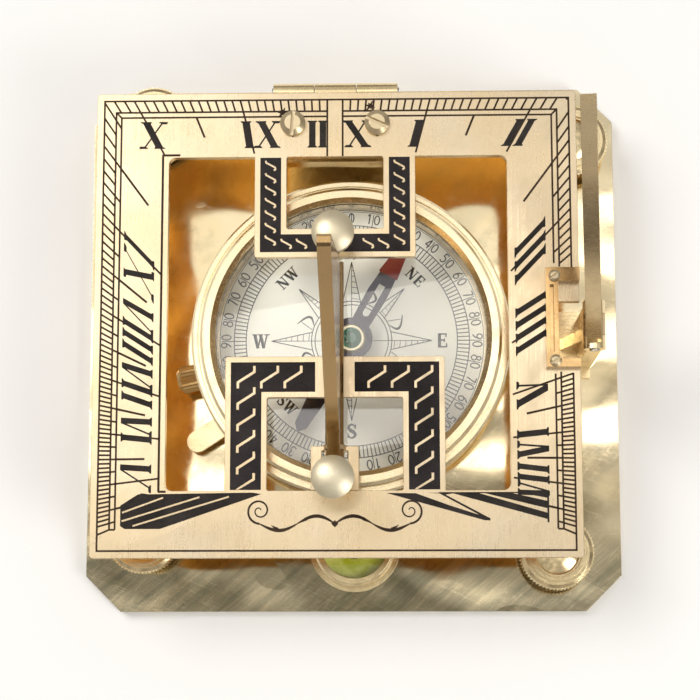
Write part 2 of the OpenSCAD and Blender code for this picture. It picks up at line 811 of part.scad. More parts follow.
module latitude_arc() {
    color(BRASS)
        translate([arc_pin_x, 0, arc_z]) rotate([0, -arc_lean, 0]) translate([-arc_pin_x, 0, -arc_z])
            difference() {
                union() {
                    translate([arc_pin_x - arc_t / 2, 0, 0]) rotate([90, 0, 90])
                        linear_extrude(arc_t) arc_outline();
                    rod_y(arc_pin_x, arc_z, arc_knuckle_r, stem_s, stem_s + arc_knuckle - 0.2);
                }
                rod_y(arc_pin_x, arc_z, arc_pin_r + run, -5, 5);
            }
}

module arc_guide() {
    color(BRASS) difference() {
        block([guide_w, guide_s, dial_top], [dial_east - 0.05, guide_n, dial_top + guide_h]);
        block([notch_w, notch_s - 0.3, dial_top - 1], [dial_east + 1, guide_n - guide_foot, dial_top + 3]);
        // Recess along the west bar
        block([guide_w + 0.55, notch_s + 0.6, dial_top + 0.5], [notch_w - 0.6, guide_n - 2.4, dial_top + 3]);
        for (y = guide_screw_y)
            translate([guide_screw_x, y, dial_top - 1]) cylinder(r = 0.5 + play, h = 4);
    }
}

module guide_screws() {
    color(BRASS) for (y = guide_screw_y)
        translate([guide_screw_x, y, 0])
            slotted_screw(guide_screw_r, 0.5, 0.5, dial_top + guide_h, guide_h + dial_t, 35);
}

base_plate();
levelling_screw_ne();
levelling_screw_nw();
levelling_screw_se();
levelling_screw_sw();
foot_pad_ne();
foot_pad_nw();
foot_pad_se();
foot_pad_sw();
compass_bowl();
bowl_screws();
bezel_ring();
compass_glass();
compass_card();
needle_pivot();
compass_needle();
needle_cap();
jewel_bearing();
lift_collar();
lift_lever();
lever_pin();
bowl_lock_screw();
level_housing();
level_glass();
level_fluid();
hinge_stand();
hinge_pin();
hinge_stand_screws();
hinge_leaf();
hinge_screws();
dial_plate();
gnomon_blade();
gnomon_pin();
bearing_block();
block_screws();
north_post();
north_post_nut();
south_post();
arc_stand();
arc_stand_screws();
arc_pin();
latitude_arc();
arc_guide();
guide_screws();
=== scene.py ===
"""Pocket sundial: the looks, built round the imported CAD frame.

Lengths are in millimetres until the last step, where MM turns them into metres. The dial's lines,
numerals and enamel are thin inlays on the dial plate, the card's print is a thin layer on the card,
and every other surface is a CAD node with a procedural material.
"""

import math

import bmesh
import bpy
from mathutils import Matrix, Vector


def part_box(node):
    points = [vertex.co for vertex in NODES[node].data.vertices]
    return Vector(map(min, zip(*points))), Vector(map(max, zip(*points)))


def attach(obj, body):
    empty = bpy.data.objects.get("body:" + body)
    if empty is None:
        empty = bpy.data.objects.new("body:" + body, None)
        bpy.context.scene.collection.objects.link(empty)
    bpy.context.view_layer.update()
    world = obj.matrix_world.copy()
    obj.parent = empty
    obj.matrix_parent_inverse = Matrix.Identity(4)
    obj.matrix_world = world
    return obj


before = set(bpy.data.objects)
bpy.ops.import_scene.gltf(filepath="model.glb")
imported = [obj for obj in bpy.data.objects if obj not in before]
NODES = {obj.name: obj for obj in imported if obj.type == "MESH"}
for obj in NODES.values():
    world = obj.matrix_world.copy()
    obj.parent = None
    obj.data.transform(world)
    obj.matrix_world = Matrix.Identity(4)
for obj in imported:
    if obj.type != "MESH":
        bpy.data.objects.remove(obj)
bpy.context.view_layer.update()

MM = 0.001


def node_box(name):
    """Lowest and highest corner of a CAD node, in millimetres."""
    low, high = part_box(name)
    return low / MM, high / MM


def node_centre(name):
    """Middle of a CAD node's box, in millimetres."""
    low, high = node_box(name)
    return tuple((low + high) / 2)


# ---- Places, from the frame ----

DIAL_LOW, DIAL_HIGH = node_box("dial_plate")
WEST, EAST = DIAL_LOW.x, DIAL_HIGH.x
SOUTH, NORTH = DIAL_LOW.y, DIAL_HIGH.y
DIAL_TOP = DIAL_HIGH.z
NOON_X = node_centre("gnomon_pin")[0]
CARD_TOP = node_box("compass_card")[1].z
BASE_TOP = node_box("base_plate")[1].z
HINGE_Y, HINGE_Z = node_centre("hinge_pin")[1:]

# Window of the dial and its two U-shaped tongues, from the plate's edges and the noon line
WINDOW_IN = {"north": 9.15, "south": 9.07, "west": 10.1, "east": 9.66}
WINDOW_W, WINDOW_E = WEST + WINDOW_IN["west"], EAST - WINDOW_IN["east"]
WINDOW_S, WINDOW_N = SOUTH + WINDOW_IN["south"], NORTH - WINDOW_IN["north"]
UPPER_HALF, UPPER_S, UPPER_LEG, UPPER_BAR = 11.1, 10.0, 4.4, 4.0
LOWER_HALF, LOWER_N, LOWER_LEG, LOWER_BAR = 14.95, -3.8, 5.7, 5.6

# Engraving: the lines' width, and the insets of the border and the minute ring from the plate's edges
LINE_W = 0.26
BORDER_IN = 1.0
RING_IN = 2.65
RING_2_IN = 3.4
# Heights of the inlays over the surface that they lie on
INLAY = 0.012
CUT = 0.02
# Where the hour lines meet, and half the width of the plain strip that the noon line has instead
FAN_Y = -17.5
NOON_HALF = 1.07
# Stretch of the dial's east margin that the arc guide covers
GUIDE_S, GUIDE_N = node_box("arc_guide")[0].y, node_box("arc_guide")[1].y
GUIDE_W = node_box("arc_guide")[0].x


# ---- Meshes ----

def in_metres(x, y, z):
    """A point of the scene, from millimetres."""
    return Vector((x, y, z)) * MM


def add_prism(bm, outline, z0, z1, place=in_metres):
    """A closed prism over an outline of (x, y) points, between two heights."""
    area = sum(a[0] * b[1] - b[0] * a[1] for a, b in zip(outline, outline[1:] + outline[:1]))
    if area < 0:
        outline = outline[::-1]
    low = [bm.verts.new(place(x, y, z0)) for x, y in outline]
    high = [bm.verts.new(place(x, y, z1)) for x, y in outline]
    bm.faces.new(low[::-1])
    bm.faces.new(high)
    for i in range(len(outline)):
        j = (i + 1) % len(outline)
        bm.faces.new((low[i], low[j], high[j], high[i]))


def mesh_object(name, bm, material):
    """An object made from a bmesh, with its material."""
    mesh = bpy.data.meshes.new(name)
    bm.to_mesh(mesh)
    bm.free()
    mesh.materials.append(material)
    made = bpy.data.objects.new(name, mesh)
    bpy.context.scene.collection.objects.link(made)
    return made


def finish_piece(name, bm, body, material):
    """Turns a bmesh into an object that rides on a body and material."""
    bmesh.ops.recalc_face_normals(bm, faces=bm.faces)
    piece = mesh_object(name, bm, material)
    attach(piece, body)
    return piece


# Strokes that cross end at slightly different heights, so that their faces never lie in one plane
STROKE_LEVELS, LEVEL_STEP = 9, 0.0007


def inlay_piece(name, outlines, z0, thick, body, material):
    """A thin layer of filled outlines as one object."""
    bm = bmesh.new()
    for i, outline in enumerate(outlines):
        add_prism(bm, outline, z0, z0 + thick - LEVEL_STEP * (i % STROKE_LEVELS))
    return finish_piece(name, bm, body, material)


def stroke(p, q, width, width_end=None):
    """Outline of a straight stroke from p to q."""
    width_end = width if width_end is None else width_end
    dx, dy = q[0] - p[0], q[1] - p[1]
    n = math.hypot(dx, dy)
    nx, ny = -dy / n, dx / n
    a, b = width / 2, width_end / 2
    return [(p[0] - nx * a, p[1] - ny * a), (q[0] - nx * b, q[1] - ny * b),
            (q[0] + nx * b, q[1] + ny * b), (p[0] + nx * a, p[1] + ny * a)]


def box_outline(x0, y0, x1, y1):
    """Outline of a rectangle between two corners."""
    return [(x0, y0), (x1, y0), (x1, y1), (x0, y1)]


def ribbon(points, width):
    """Outline of a stroke along a bent line, with mitred bends. width is one number, or one per point."""
    widths = width if isinstance(width, (list, tuple)) else [width] * len(points)
    left, right = [], []
    for i, (x, y) in enumerate(points):
        before = points[max(i - 1, 0)]
        after = points[min(i + 1, len(points) - 1)]
        d = [(x - before[0], y - before[1]), (after[0] - x, after[1] - y)]
        normals = [(-v / math.hypot(u, v), u / math.hypot(u, v)) for u, v in d if (u, v) != (0, 0)]
        nx = sum(n[0] for n in normals) / len(normals)
        ny = sum(n[1] for n in normals) / len(normals)
        scale = widths[i] / 2 / max(nx * nx + ny * ny, 0.3)
        left.append((x + nx * scale, y + ny * scale))
        right.append((x - nx * scale, y - ny * scale))
    return left + right[::-1]


def arc_points(cx, cy, r, start, end, steps, ry=None):
    """Points on a circle, or on an ellipse if ry is given, by degrees anticlockwise from +X."""
    ry = r if ry is None else ry
    angles = [math.radians(start + (end - start) * i / steps) for i in range(steps + 1)]
    return [(cx + r * math.cos(a), cy + ry * math.sin(a)) for a in angles]


def ring_parts(cx, cy, r, width, parts=72):
    """A thin circle as a row of short bands."""
    step = 360 / parts
    bands = []
    for i in range(parts):
        outer = arc_points(cx, cy, r + width / 2, i * step, (i + 1) * step, 3)
        inner = arc_points(cx, cy, r - width / 2, i * step, (i + 1) * step, 3)
        bands.append(outer + inner[::-1])
    return bands


def bearing(r, degrees):
    """Point at a compass bearing, clockwise from north, round the compass's middle."""
    a = math.radians(degrees)
    return (r * math.sin(a), r * math.cos(a))


def rotate_point(p, angle):
    """A point turned anticlockwise about the origin, by an angle in radians."""
    c, s = math.cos(angle), math.sin(angle)
    return (p[0] * c - p[1] * s, p[0] * s + p[1] * c)


# ---- Materials ----

def new_material(name):
    """A new material, its node tree and its shader."""
    mat = bpy.data.materials.new(name)
    mat.use_nodes = True
    tree = mat.node_tree
    return mat, tree, tree.nodes["Principled BSDF"]


def add_node(tree, kind, inputs=None, **settings):
    """A shader node with its settings, and its inputs set or linked by name or number."""
    node = tree.nodes.new("ShaderNode" + kind)
    for key, value in settings.items():
        setattr(node, key, value)
    for key, value in (inputs or {}).items():
        if isinstance(value, bpy.types.NodeSocket):
            tree.links.new(value, node.inputs[key])
        else:
            node.inputs[key].default_value = value
    return node


def coordinates(tree, scale, centre=(0, 0, 0), rotation=(0, 0, 0)):
    """Object coordinates about a centre in millimetres, stretched by a scale per millimetre."""
    coords = add_node(tree, "TexCoord")
    moved = add_node(tree, "VectorMath", {0: coords.outputs["Object"], 1: Vector(centre) * MM},
                     operation="SUBTRACT")
    turned = add_node(tree, "VectorRotate", {"Vector": moved.outputs[0], "Rotation": rotation},
                      rotation_type="EULER_XYZ")
    scaled = add_node(tree, "VectorMath",
                      {0: turned.outputs[0], 1: Vector(scale) / MM}, operation="MULTIPLY")
    return scaled.outputs[0]


def noise(tree, vector, detail, roughness):
    """The grey value of a noise texture at a vector."""
    look = {"Vector": vector, "Scale": 1.0, "Detail": detail, "Roughness": roughness}
    return add_node(tree, "TexNoise", look).outputs["Fac"]


def cloud_noise(tree, per_mm, detail=3, roughness=0.5, turn=0.0):
    """Noise in object coordinates: its density along X, Y and Z, and a turn about Z in radians."""
    stretch = per_mm if isinstance(per_mm, tuple) else (per_mm, per_mm, per_mm)
    return noise(tree, coordinates(tree, stretch, rotation=(0, 0, turn)), detail, roughness)


def feed(shader, **sockets):
    """Links values to a shader's sockets, named with _ for each space."""
    for name, value in sockets.items():
        shader.id_data.links.new(value, shader.inputs[name.replace("_", " ")])


def bumped(tree, height, depth):
    """Normals that follow a height of a given depth in millimetres."""
    return add_node(tree, "Bump", {"Height": height, "Distance": depth * MM}).outputs[0]


def remap(tree, value, low, high, to_low=0.0, to_high=1.0):
    """A stretch of values mapped onto another, and held at its ends."""
    ends = {"Value": value, "From Min": low, "From Max": high, "To Min": to_low, "To Max": to_high}
    return add_node(tree, "MapRange", ends).outputs["Result"]


def math_node(tree, operation, a, b):
    """The result of one operation on two values."""
    return add_node(tree, "Math", {0: a, 1: b}, operation=operation).outputs[0]


def mix_colour(tree, factor, a, b, blend="MIX"):
    """A blend of two colours, where each value may be linked or fixed."""
    node = add_node(tree, "Mix", data_type="RGBA", blend_type=blend)
    for socket, value in ((node.inputs[0], factor), (node.inputs[6], a), (node.inputs[7], b)):
        if isinstance(value, bpy.types.NodeSocket):
            tree.links.new(value, socket)
        else:
            socket.default_value = value if not isinstance(value, tuple) else (*value[:3], 1)
    return node.outputs[2]


def scratches(tree, per_mm, direction, sharp=0.035):
    """Long fine hairlines: a noise stretched along one direction, kept only near its middle value."""
    angle = math.radians(direction)
    field = cloud_noise(tree, (per_mm * 0.035, per_mm, per_mm), 2, 0.6, angle)
    away = math_node(tree, "ABSOLUTE", math_node(tree, "SUBTRACT", field, 0.5), 0.0)
    return remap(tree, away, 0.0, sharp, 1.0, 0.0)


def turned_grain(tree, centre, per_mm):
    """Fine lathe rings about a vertical axis through centre."""
    vector = coordinates(tree, (per_mm, per_mm, per_mm), centre)
    parts = add_node(tree, "SeparateXYZ", {0: vector})
    flat_vector = add_node(tree, "CombineXYZ", {0: parts.outputs[0], 1: parts.outputs[1]})
    radius = add_node(tree, "VectorMath", {0: flat_vector.outputs[0]}, operation="LENGTH")
    line = add_node(tree, "CombineXYZ", {0: radius.outputs["Value"], 2: parts.outputs[2]})
    return noise(tree, line.outputs[0], 2, 0.6)


def smudged(tree, colour, tone, patina, smudge):
    """A brass colour that warms in clouds and dulls where it is smudged."""
    warm = tuple(c * f for c, f in zip(colour, (1.0, 0.93, 0.80)))
    dull = tuple(c * f for c, f in zip(colour, (0.80, 0.80, 0.74)))
    cloud = cloud_noise(tree, 0.09, 5, 0.55)
    tinted = mix_colour(tree, remap(tree, cloud, 0.35, 0.65, 0.0, tone * 4), colour, warm)
    return mix_colour(tree, remap(tree, smudge, 0.52, 0.75, 0.0, patina), tinted, dull)


def tint_underside(tree, colour, painted_bounce):
    """Painted bounce light: a warmer colour on the faces that look down, standing in for the light that
    bounces between the brass faces.
    """
    normal = add_node(tree, "TexCoord").outputs["Normal"]
    facing = add_node(tree, "SeparateXYZ", {0: normal}).outputs[2]
    return mix_colour(tree, remap(tree, facing, -0.9, -0.5, 1.0, 0.0), colour, painted_bounce)


# How far the streaks of the painted dark reflection are turned, and how many mm it takes to fade out under
# the dial
REFLECTION_STREAK_DIR = math.radians(-40)
REFLECTION_FADE = 4


def tarnish_margin(tree, colour, margin_reflection):
    """Painted dark reflection on the south margin, beyond the dial's edge: the camera overhead, seen in the
    polished base, drawn as darker streaks.
    """
    streak = cloud_noise(tree, (0.05, 0.75, 0.3), 5, 0.66, REFLECTION_STREAK_DIR)
    north = add_node(tree, "SeparateXYZ", {0: coordinates(tree, (1, 1, 1))}).outputs[1]
    margin = remap(tree, north, SOUTH, SOUTH + REFLECTION_FADE, 1.0, 0.0)
    amount = math_node(tree, "MULTIPLY", margin, remap(tree, streak, 0.38, 0.62, 0.40, 0.90))
    return mix_colour(tree, amount, colour, margin_reflection)


def line_rims(tree, colour, radius):
    """Painted shade: brown lines along every sharp edge, standing in for the shade on the edges' small bevels
    and side faces.
    """
    soft = add_node(tree, "Bevel", {"Radius": radius * MM}, samples=6)
    true = add_node(tree, "NewGeometry")
    match = add_node(tree, "VectorMath", {0: soft.outputs[0], 1: true.outputs["Normal"]},
                     operation="DOT_PRODUCT")
    near = remap(tree, match.outputs["Value"], 0.80, 0.97, 0.75, 0.0)
    return mix_colour(tree, near, colour, (0.26, 0.15, 0.05))


def brass(name, colour, roughness, grain="straight", grain_dir=0, grain_depth=0.002, centre=(0, 0, 0),
          tone=0.12, patina=0.25, wave=0.0, edge=0.08, painted_bounce=None, rim=0.0, margin_reflection=None):
    """Brass with grain, hairline scratches, tarnished smudges and slightly rounded edges, and where asked
    painted light: bounce light on faces that look down, shade along sharp edges, a dark reflection on the
    south margin.
    """
    mat, tree, shader = new_material(name)
    shader.inputs["Metallic"].default_value = 1.0

    smudge = cloud_noise(tree, (0.35, 0.22, 0.3), 6, 0.6, 0.6)
    shade = smudged(tree, colour, tone, patina, smudge)
    # Painted bounce light: an orange colour on the faces that look down
    if painted_bounce:
        shade = tint_underside(tree, shade, painted_bounce)
    # Painted dark reflection: darker streaks on the south margin
    if margin_reflection:
        shade = tarnish_margin(tree, shade, margin_reflection)
    # Painted shade: brown lines along the sharp edges
    if rim:
        shade = line_rims(tree, shade, rim)

    if grain == "turned":
        fine = turned_grain(tree, centre, 7.0)
    else:
        fine = cloud_noise(tree, (0.12, 9.0, 9.0), 3, 0.6, math.radians(grain_dir))
    hair = scratches(tree, 2.2, grain_dir + 24)
    hair_2 = scratches(tree, 1.6, grain_dir - 51, 0.02)
    lines = math_node(tree, "MAXIMUM", hair, hair_2)
    shade = mix_colour(tree, remap(tree, lines, 0.6, 1.0, 0.0, 0.10), shade, (0.95, 0.86, 0.68))

    rough = remap(tree, fine, 0.3, 0.7, roughness * 0.82, roughness * 1.2)
    rough = math_node(tree, "ADD", rough, remap(tree, smudge, 0.45, 0.75, 0.0, 0.10))
    rough = math_node(tree, "ADD", rough, remap(tree, lines, 0.6, 1.0, 0.0, 0.08))

    height = math_node(tree, "SUBTRACT", remap(tree, fine, 0.3, 0.7, 0.0, grain_depth),
                       remap(tree, lines, 0.5, 1.0, 0.0, grain_depth * 0.4))
    if wave:
        swell = cloud_noise(tree, (0.05, 0.065, 0.05), 1, 0.4)
        height = math_node(tree, "ADD", height, remap(tree, swell, 0.3, 0.7, 0.0, wave))
    rounded = add_node(tree, "Bevel", {"Radius": edge * MM}, samples=4)
    bump = add_node(tree, "Bump", {"Height": height, "Distance": MM, "Normal": rounded.outputs[0]})
    feed(shader, Base_Color=shade, Roughness=rough, Normal=bump.outputs[0])
    return mat


def steel(name, colour, roughness):
    """Steel with a fine grain and darker clouds."""
    mat, tree, shader = new_material(name)
    shader.inputs["Metallic"].default_value = 1.0
    fine = cloud_noise(tree, (6.0, 0.4, 6.0), 3, 0.6)
    cloud = cloud_noise(tree, 0.5, 4)
    feed(shader,
         Base_Color=mix_colour(tree, remap(tree, cloud, 0.35, 0.65), colour, tuple(c * 0.7 for c in colour)),
         Roughness=remap(tree, fine, 0.3, 0.7, roughness * 0.8, roughness * 1.25),
         Normal=bumped(tree, fine, 0.003))
    return mat


def paint(name, colour, roughness, speckle=0.25, per_mm=4.0, depth=0.01, gloss=0.15):
    """Ink, enamel or paint: a colour that varies a little, with a fine uneven surface."""
    mat, tree, shader = new_material(name)
    grain = cloud_noise(tree, per_mm, 4, 0.6)
    cloud = cloud_noise(tree, 0.3)
    light = tuple(min(1.0, c * (1 + speckle) + 0.01) for c in colour)
    dark = tuple(c * (1 - speckle) for c in colour)
    halves = [math_node(tree, "MULTIPLY", field, 0.5) for field in (grain, cloud)]
    both = math_node(tree, "ADD", *halves)
    feed(shader, Base_Color=mix_colour(tree, remap(tree, both, 0.35, 0.65), dark, light),
         Roughness=remap(tree, grain, 0.3, 0.7, roughness * 0.85, min(1.0, roughness * 1.2)),
         Normal=bumped(tree, grain, depth))
    shader.inputs["Specular IOR Level"].default_value = gloss
    return mat


def card_material():
    """Cream card: paper fibres, slight yellowing towards the rim."""
    mat, tree, shader = new_material("printed_card")
    fibre = cloud_noise(tree, (5.0, 3.0, 5.0), 5, 0.65)
    cloud = cloud_noise(tree, 0.15)
    radius = add_node(tree, "VectorMath", {0: coordinates(tree, (1, 1, 0))}, operation="LENGTH")
    rim = remap(tree, radius.outputs["Value"], 10.0, 19.0, 0.0, 0.5)
    aged = math_node(tree, "MULTIPLY", rim, cloud)
    paper = mix_colour(tree, aged, (0.86, 0.83, 0.75), (0.68, 0.61, 0.47))
    paper = mix_colour(tree, remap(tree, fibre, 0.4, 0.7, 0.0, 0.12), paper, (0.70, 0.66, 0.58))
    feed(shader, Base_Color=paper, Normal=bumped(tree, fibre, 0.01))
    shader.inputs["Roughness"].default_value = 0.62
    return mat


def clear_material(name, colour, ior, lamp_tint):
    """Clear glass with smears on its surface, which light from the lamps passes straight through."""
    mat, tree, shader = new_material(name)
    shader.inputs["Base Color"].default_value = (*colour, 1)
    shader.inputs["Transmission Weight"].default_value = 1.0
    shader.inputs["IOR"].default_value = ior
    smear = cloud_noise(tree, (0.25, 0.4, 0.25), 5, 0.6)
    feed(shader, Roughness=remap(tree, smear, 0.5, 0.75, 0.0, 0.06))
    clear = add_node(tree, "BsdfTransparent", {"Color": (*lamp_tint, 1)})
    path = add_node(tree, "LightPath")
    mixed = add_node(tree, "MixShader",
                     {0: path.outputs["Is Shadow Ray"], 1: shader.outputs[0], 2: clear.outputs[0]})
    tree.links.new(mixed.outputs[0], tree.nodes["Material Output"].inputs["Surface"])
    return mat


def fluid_material():
    """Yellow-green spirit, slightly cloudy, so that the cup behind it shows through as a tint."""
    mat, tree, shader = new_material("yellow_spirit")
    cloud = cloud_noise(tree, 0.4)
    tint = mix_colour(tree, remap(tree, cloud, 0.35, 0.65), (0.52, 0.56, 0.04), (0.86, 0.86, 0.26))
    feed(shader, Base_Color=tint)
    shader.inputs["Roughness"].default_value = 0.05
    shader.inputs["IOR"].default_value = 1.36
    shader.inputs["Transmission Weight"].default_value = 0.15
    return mat


def jewel_material():
    """Green stone, cut in small facets."""
    mat, tree, shader = new_material("green_jewel")
    facets = add_node(tree, "TexVoronoi", {"Vector": coordinates(tree, (1.3, 1.3, 1.3))})
    distance = facets.outputs["Distance"]
    shade = mix_colour(tree, remap(tree, distance, 0.1, 0.7), (0.008, 0.20, 0.09), (0.004, 0.03, 0.025))
    feed(shader, Base_Color=shade, Normal=bumped(tree, distance, 0.08))
    shader.inputs["Roughness"].default_value = 0.08
    shader.inputs["Coat Weight"].default_value = 0.6
    return mat


# Colours of the brass, from polished to aged
PALE = (0.76, 0.63, 0.44)
GOLD = (0.90, 0.74, 0.45)
BRIGHT = (0.88, 0.75, 0.50)
SATIN = (0.80, 0.72, 0.53)
TAN = (0.60, 0.46, 0.27)
BROWN = (0.48, 0.32, 0.15)
DEEP = (0.38, 0.25, 0.115)
AGED = (0.55, 0.37, 0.16)

MATERIALS = {
    # The dial's faces that look down carry painted bounce light, an orange colour
    "dial": brass("dial_brass", PALE, 0.28, grain_dir=90, grain_depth=0.0004, patina=0.5, tone=0.2, wave=0.08,
                  # Painted shade: rim draws brown lines along the dial's sharp edges
                  painted_bounce=(0.78, 0.47, 0.13), rim=0.2),
    "mirror": brass("mirror_brass", BRIGHT, 0.08, grain_depth=0.0004, wave=0.45, patina=0.6, tone=0.2,
                    # Painted dark reflection: a darker, streaked south margin, for the camera overhead seen
                    # in the polish
                    margin_reflection=(0.38, 0.34, 0.22)),
    "blade": brass("blade_brass", DEEP, 0.18, grain_dir=90, grain_depth=0.0005, wave=0.03, patina=0.3),
    "plain": brass("plain_brass", GOLD, 0.22, grain_depth=0.0012, wave=0.02),
    "arc": brass("arc_brass", TAN, 0.22, grain_depth=0.0007, wave=0.03),
    "guide": brass("guide_brass", BROWN, 0.14, grain_depth=0.0004, wave=0.05, edge=0.05),
    "bezel": brass("bezel_brass", BRIGHT, 0.19, grain="turned", grain_depth=0.0012),
    "head": brass("head_brass", (0.68, 0.57, 0.38), 0.33, grain_depth=0.0008, patina=0.15),
    "aged": brass("aged_brass", AGED, 0.30, grain_depth=0.0012, patina=0.5),
    "post": brass("post_brass", SATIN, 0.42, grain_depth=0.0006, patina=0.1),
    "steel": steel("bright_steel", (0.55, 0.55, 0.56), 0.25),
    "needle": steel("dark_steel", (0.07, 0.06, 0.075), 0.35),
    "ink": paint("black_ink", (0.022, 0.017, 0.014), 0.55, 0.4),
    "engraving": paint("engraved_black", (0.040, 0.021, 0.010), 0.6, 0.5, 6.0),
    "enamel": paint("black_enamel", (0.020, 0.015, 0.015), 0.42, 0.5, 5.0, 0.03),
    "red": paint("red_paint", (0.19, 0.012, 0.012), 0.35, 0.3, gloss=0.4),
    "card": card_material(),
    "glass": clear_material("clear_glass", (0.99, 1.0, 0.99), 1.5, (0.95, 0.96, 0.95)),
    "fluid": fluid_material(),
    "jewel": jewel_material(),
}


def knob_material(node):
    """Knurled heads are turned about their own screw."""
    return brass("turned_" + node, GOLD, 0.17, grain="turned", grain_depth=0.0012, centre=node_centre(node))


# The CAD nodes that each material covers, but for the foot pads and the turned knobs
NODES_OF = {
    "dial": ("dial_plate", "bearing_block"), "guide": ("arc_guide",), "arc": ("latitude_arc",),
    "mirror": ("base_plate",), "blade": ("gnomon_blade",), "bezel": ("compass_bowl", "bezel_ring"),
    "plain": ("lift_collar", "lift_lever", "hinge_stand", "hinge_leaf", "arc_stand"),
    "head": ("guide_screws", "hinge_screws"), "post": ("needle_cap", "north_post", "south_post"),
    "aged": ("bowl_screws", "hinge_stand_screws", "arc_stand_screws", "block_screws", "north_post_nut",
             "bowl_lock_screw"),
    "needle": ("compass_needle",), "card": ("compass_card",), "glass": ("compass_glass", "level_glass"),
    "steel": ("needle_pivot", "lever_pin", "hinge_pin", "gnomon_pin", "arc_pin"),
    "fluid": ("level_fluid",), "jewel": ("jewel_bearing",),
}


def dress_nodes():
    """Gives every CAD node its material."""
    chosen = {node: MATERIALS[name] for name, nodes in NODES_OF.items() for node in nodes}
    for name, obj in NODES.items():
        if name.startswith("foot_pad"):
            material = MATERIALS["aged"]
        else:
            material = chosen.get(name) or knob_material(name)
        obj.data.materials.clear()
        obj.data.materials.append(material)


# ---- Hour lines ----

def hour_angle(hours):
    """Angle of an hour line from the noon line, in degrees, for hours after noon."""
    size = abs(hours)
    return math.copysign(15 * size - 0.165 * size * size, hours)


def fan_point(hours, side, inset):
    """Where an hour line crosses a line that runs along a side of the dial, inset from its edge."""
    a = math.radians(hour_angle(hours))
    dx, dy = math.sin(a), math.cos(a)
    if side == "north":
        t = (NORTH - inset - FAN_Y) / dy
    else:
        x = WEST + inset if side == "west" else EAST - inset
        t = (x - NOON_X) / dx
    return (NOON_X + t * dx, FAN_Y + t * dy)


def side_of(hours):
    """The side of the dial that an hour line leaves by."""
    x = fan_point(hours, "north", BORDER_IN)[0] if abs(hours) < 5.5 else None
    if x is not None and WEST + BORDER_IN <= x <= EAST - BORDER_IN:
        return "north"
    return "west" if hours < 0 else "east"


def hidden_by_guide(p):
    """Whether a point of the dial lies under the arc guide or over its notch."""
    return p[0] > GUIDE_W - 0.2 and GUIDE_S - 0.1 < p[1] < GUIDE_N + 0.1


def clip_to_guide(outlines):
    """Leaves out strokes that would run under the arc guide or over its notch."""
    return [o for o in outlines if not any(hidden_by_guide(p) for p in o)]


def split_line(p, q, width, parts):
    """A long stroke cut into short ones, so that a stretch of it can be left out."""
    points = [(p[0] + (q[0] - p[0]) * i / parts, p[1] + (q[1] - p[1]) * i / parts) for i in range(parts + 1)]
    return [stroke(a, b, width) for a, b in zip(points, points[1:])]


# Where the minute ring stops at the south, and how far its end slants
RING_END = -27.3
RING_SLANT = 0.7


def ring_lines():
    """The border all round the plate, and the two inner lines of the minute ring."""
    out = []
    w, e = WEST + BORDER_IN, EAST - BORDER_IN
    s, n = SOUTH + BORDER_IN, NORTH - BORDER_IN
    half = LINE_W / 2
    parts = 60
    out += [stroke((w - half, n), (e + half, n), LINE_W), stroke((w - half, s), (e + half, s), LINE_W)]
    out += [stroke((w, s), (w, n), LINE_W)] + split_line((e, s), (e, n), LINE_W, parts)
    for inset in (RING_IN, RING_2_IN):
        w, e, n = WEST + inset, EAST - inset, NORTH - inset
        out.append(stroke((w - half, n), (NOON_X - NOON_HALF, n), LINE_W))
        out.append(stroke((NOON_X + NOON_HALF, n), (e + half, n), LINE_W))
        out.append(stroke((w, RING_END), (w, n), LINE_W))
        out += split_line((e, RING_END), (e, n), LINE_W, parts)
    # The ring's two ends at the south, then its mitred corners: insets and heights
    links = (((BORDER_IN, RING_END - RING_SLANT), (RING_IN, RING_END)),
             ((RING_IN, RING_END), (RING_2_IN, RING_END)),
             ((RING_IN, NORTH - RING_IN), (RING_2_IN, NORTH - RING_2_IN)))
    for (a, y0), (b, y1) in links:
        out += [stroke((x + step * a, y0), (x + step * b, y1), LINE_W) for x, step in ((WEST, 1), (EAST, -1))]
    return clip_to_guide(out)


# How far in from the edge the half-hour strokes reach, and how far the hour lines stop from the window
HALF_HOUR_IN = {"north": 6.3, "west": 7.3, "east": 7.4}
HOUR_GAP = {"north": 0.5, "west": 0.8, "east": 0.4}


def minute_ticks():
    """Slanted ticks every five minutes, longer ones at the quarters, and the half-hour strokes."""
    out = []
    steps_per_hour = 12
    for i in range(-8 * steps_per_hour, 8 * steps_per_hour + 1):
        hours = i / steps_per_hour
        if i == 0 or abs(fan_point(hours, "north", RING_IN)[0] - NOON_X) < 1.2:
            continue
        side = side_of(hours)
        p, q = fan_point(hours, side, BORDER_IN), fan_point(hours, side, RING_IN)
        corner = side == "north" and not (WEST + RING_IN < q[0] < EAST - RING_IN)
        if corner or q[1] > NORTH - RING_IN + 0.01:
            q = clip_at_corner(p, q)
        if min(p[1], q[1]) < RING_END:
            continue
        out.append(stroke(p, q, LINE_W))
        if i % 3 == 0 and not corner and q[1] <= NORTH - RING_2_IN:
            out.append(stroke(q, fan_point(hours, side, RING_2_IN), LINE_W))
        if i % steps_per_hour == steps_per_hour // 2 and q[1] > RING_END + 0.5:
            ends = [fan_point(hours, side, inset) for inset in (RING_2_IN, HALF_HOUR_IN[side])]
            out.append(stroke(*ends, LINE_W * 1.15))
    return clip_to_guide(out)


def clip_at_corner(p, q):
    """Ends a tick at the mitre line of the ring's corner."""
    corner_x = WEST if p[0] < NOON_X else EAST
    step = 1 if corner_x == WEST else -1
    dx, dy = q[0] - p[0], q[1] - p[1]
    # The mitre holds the points whose insets from both edges are equal
    inset_x, inset_y = step * (p[0] - corner_x), NORTH - p[1]
    t = (inset_y - inset_x) / (step * dx + dy) if abs(step * dx + dy) > 1e-6 else 1
    t = min(max(t, 0.15), 1)
    return (p[0] + dx * t, p[1] + dy * t)


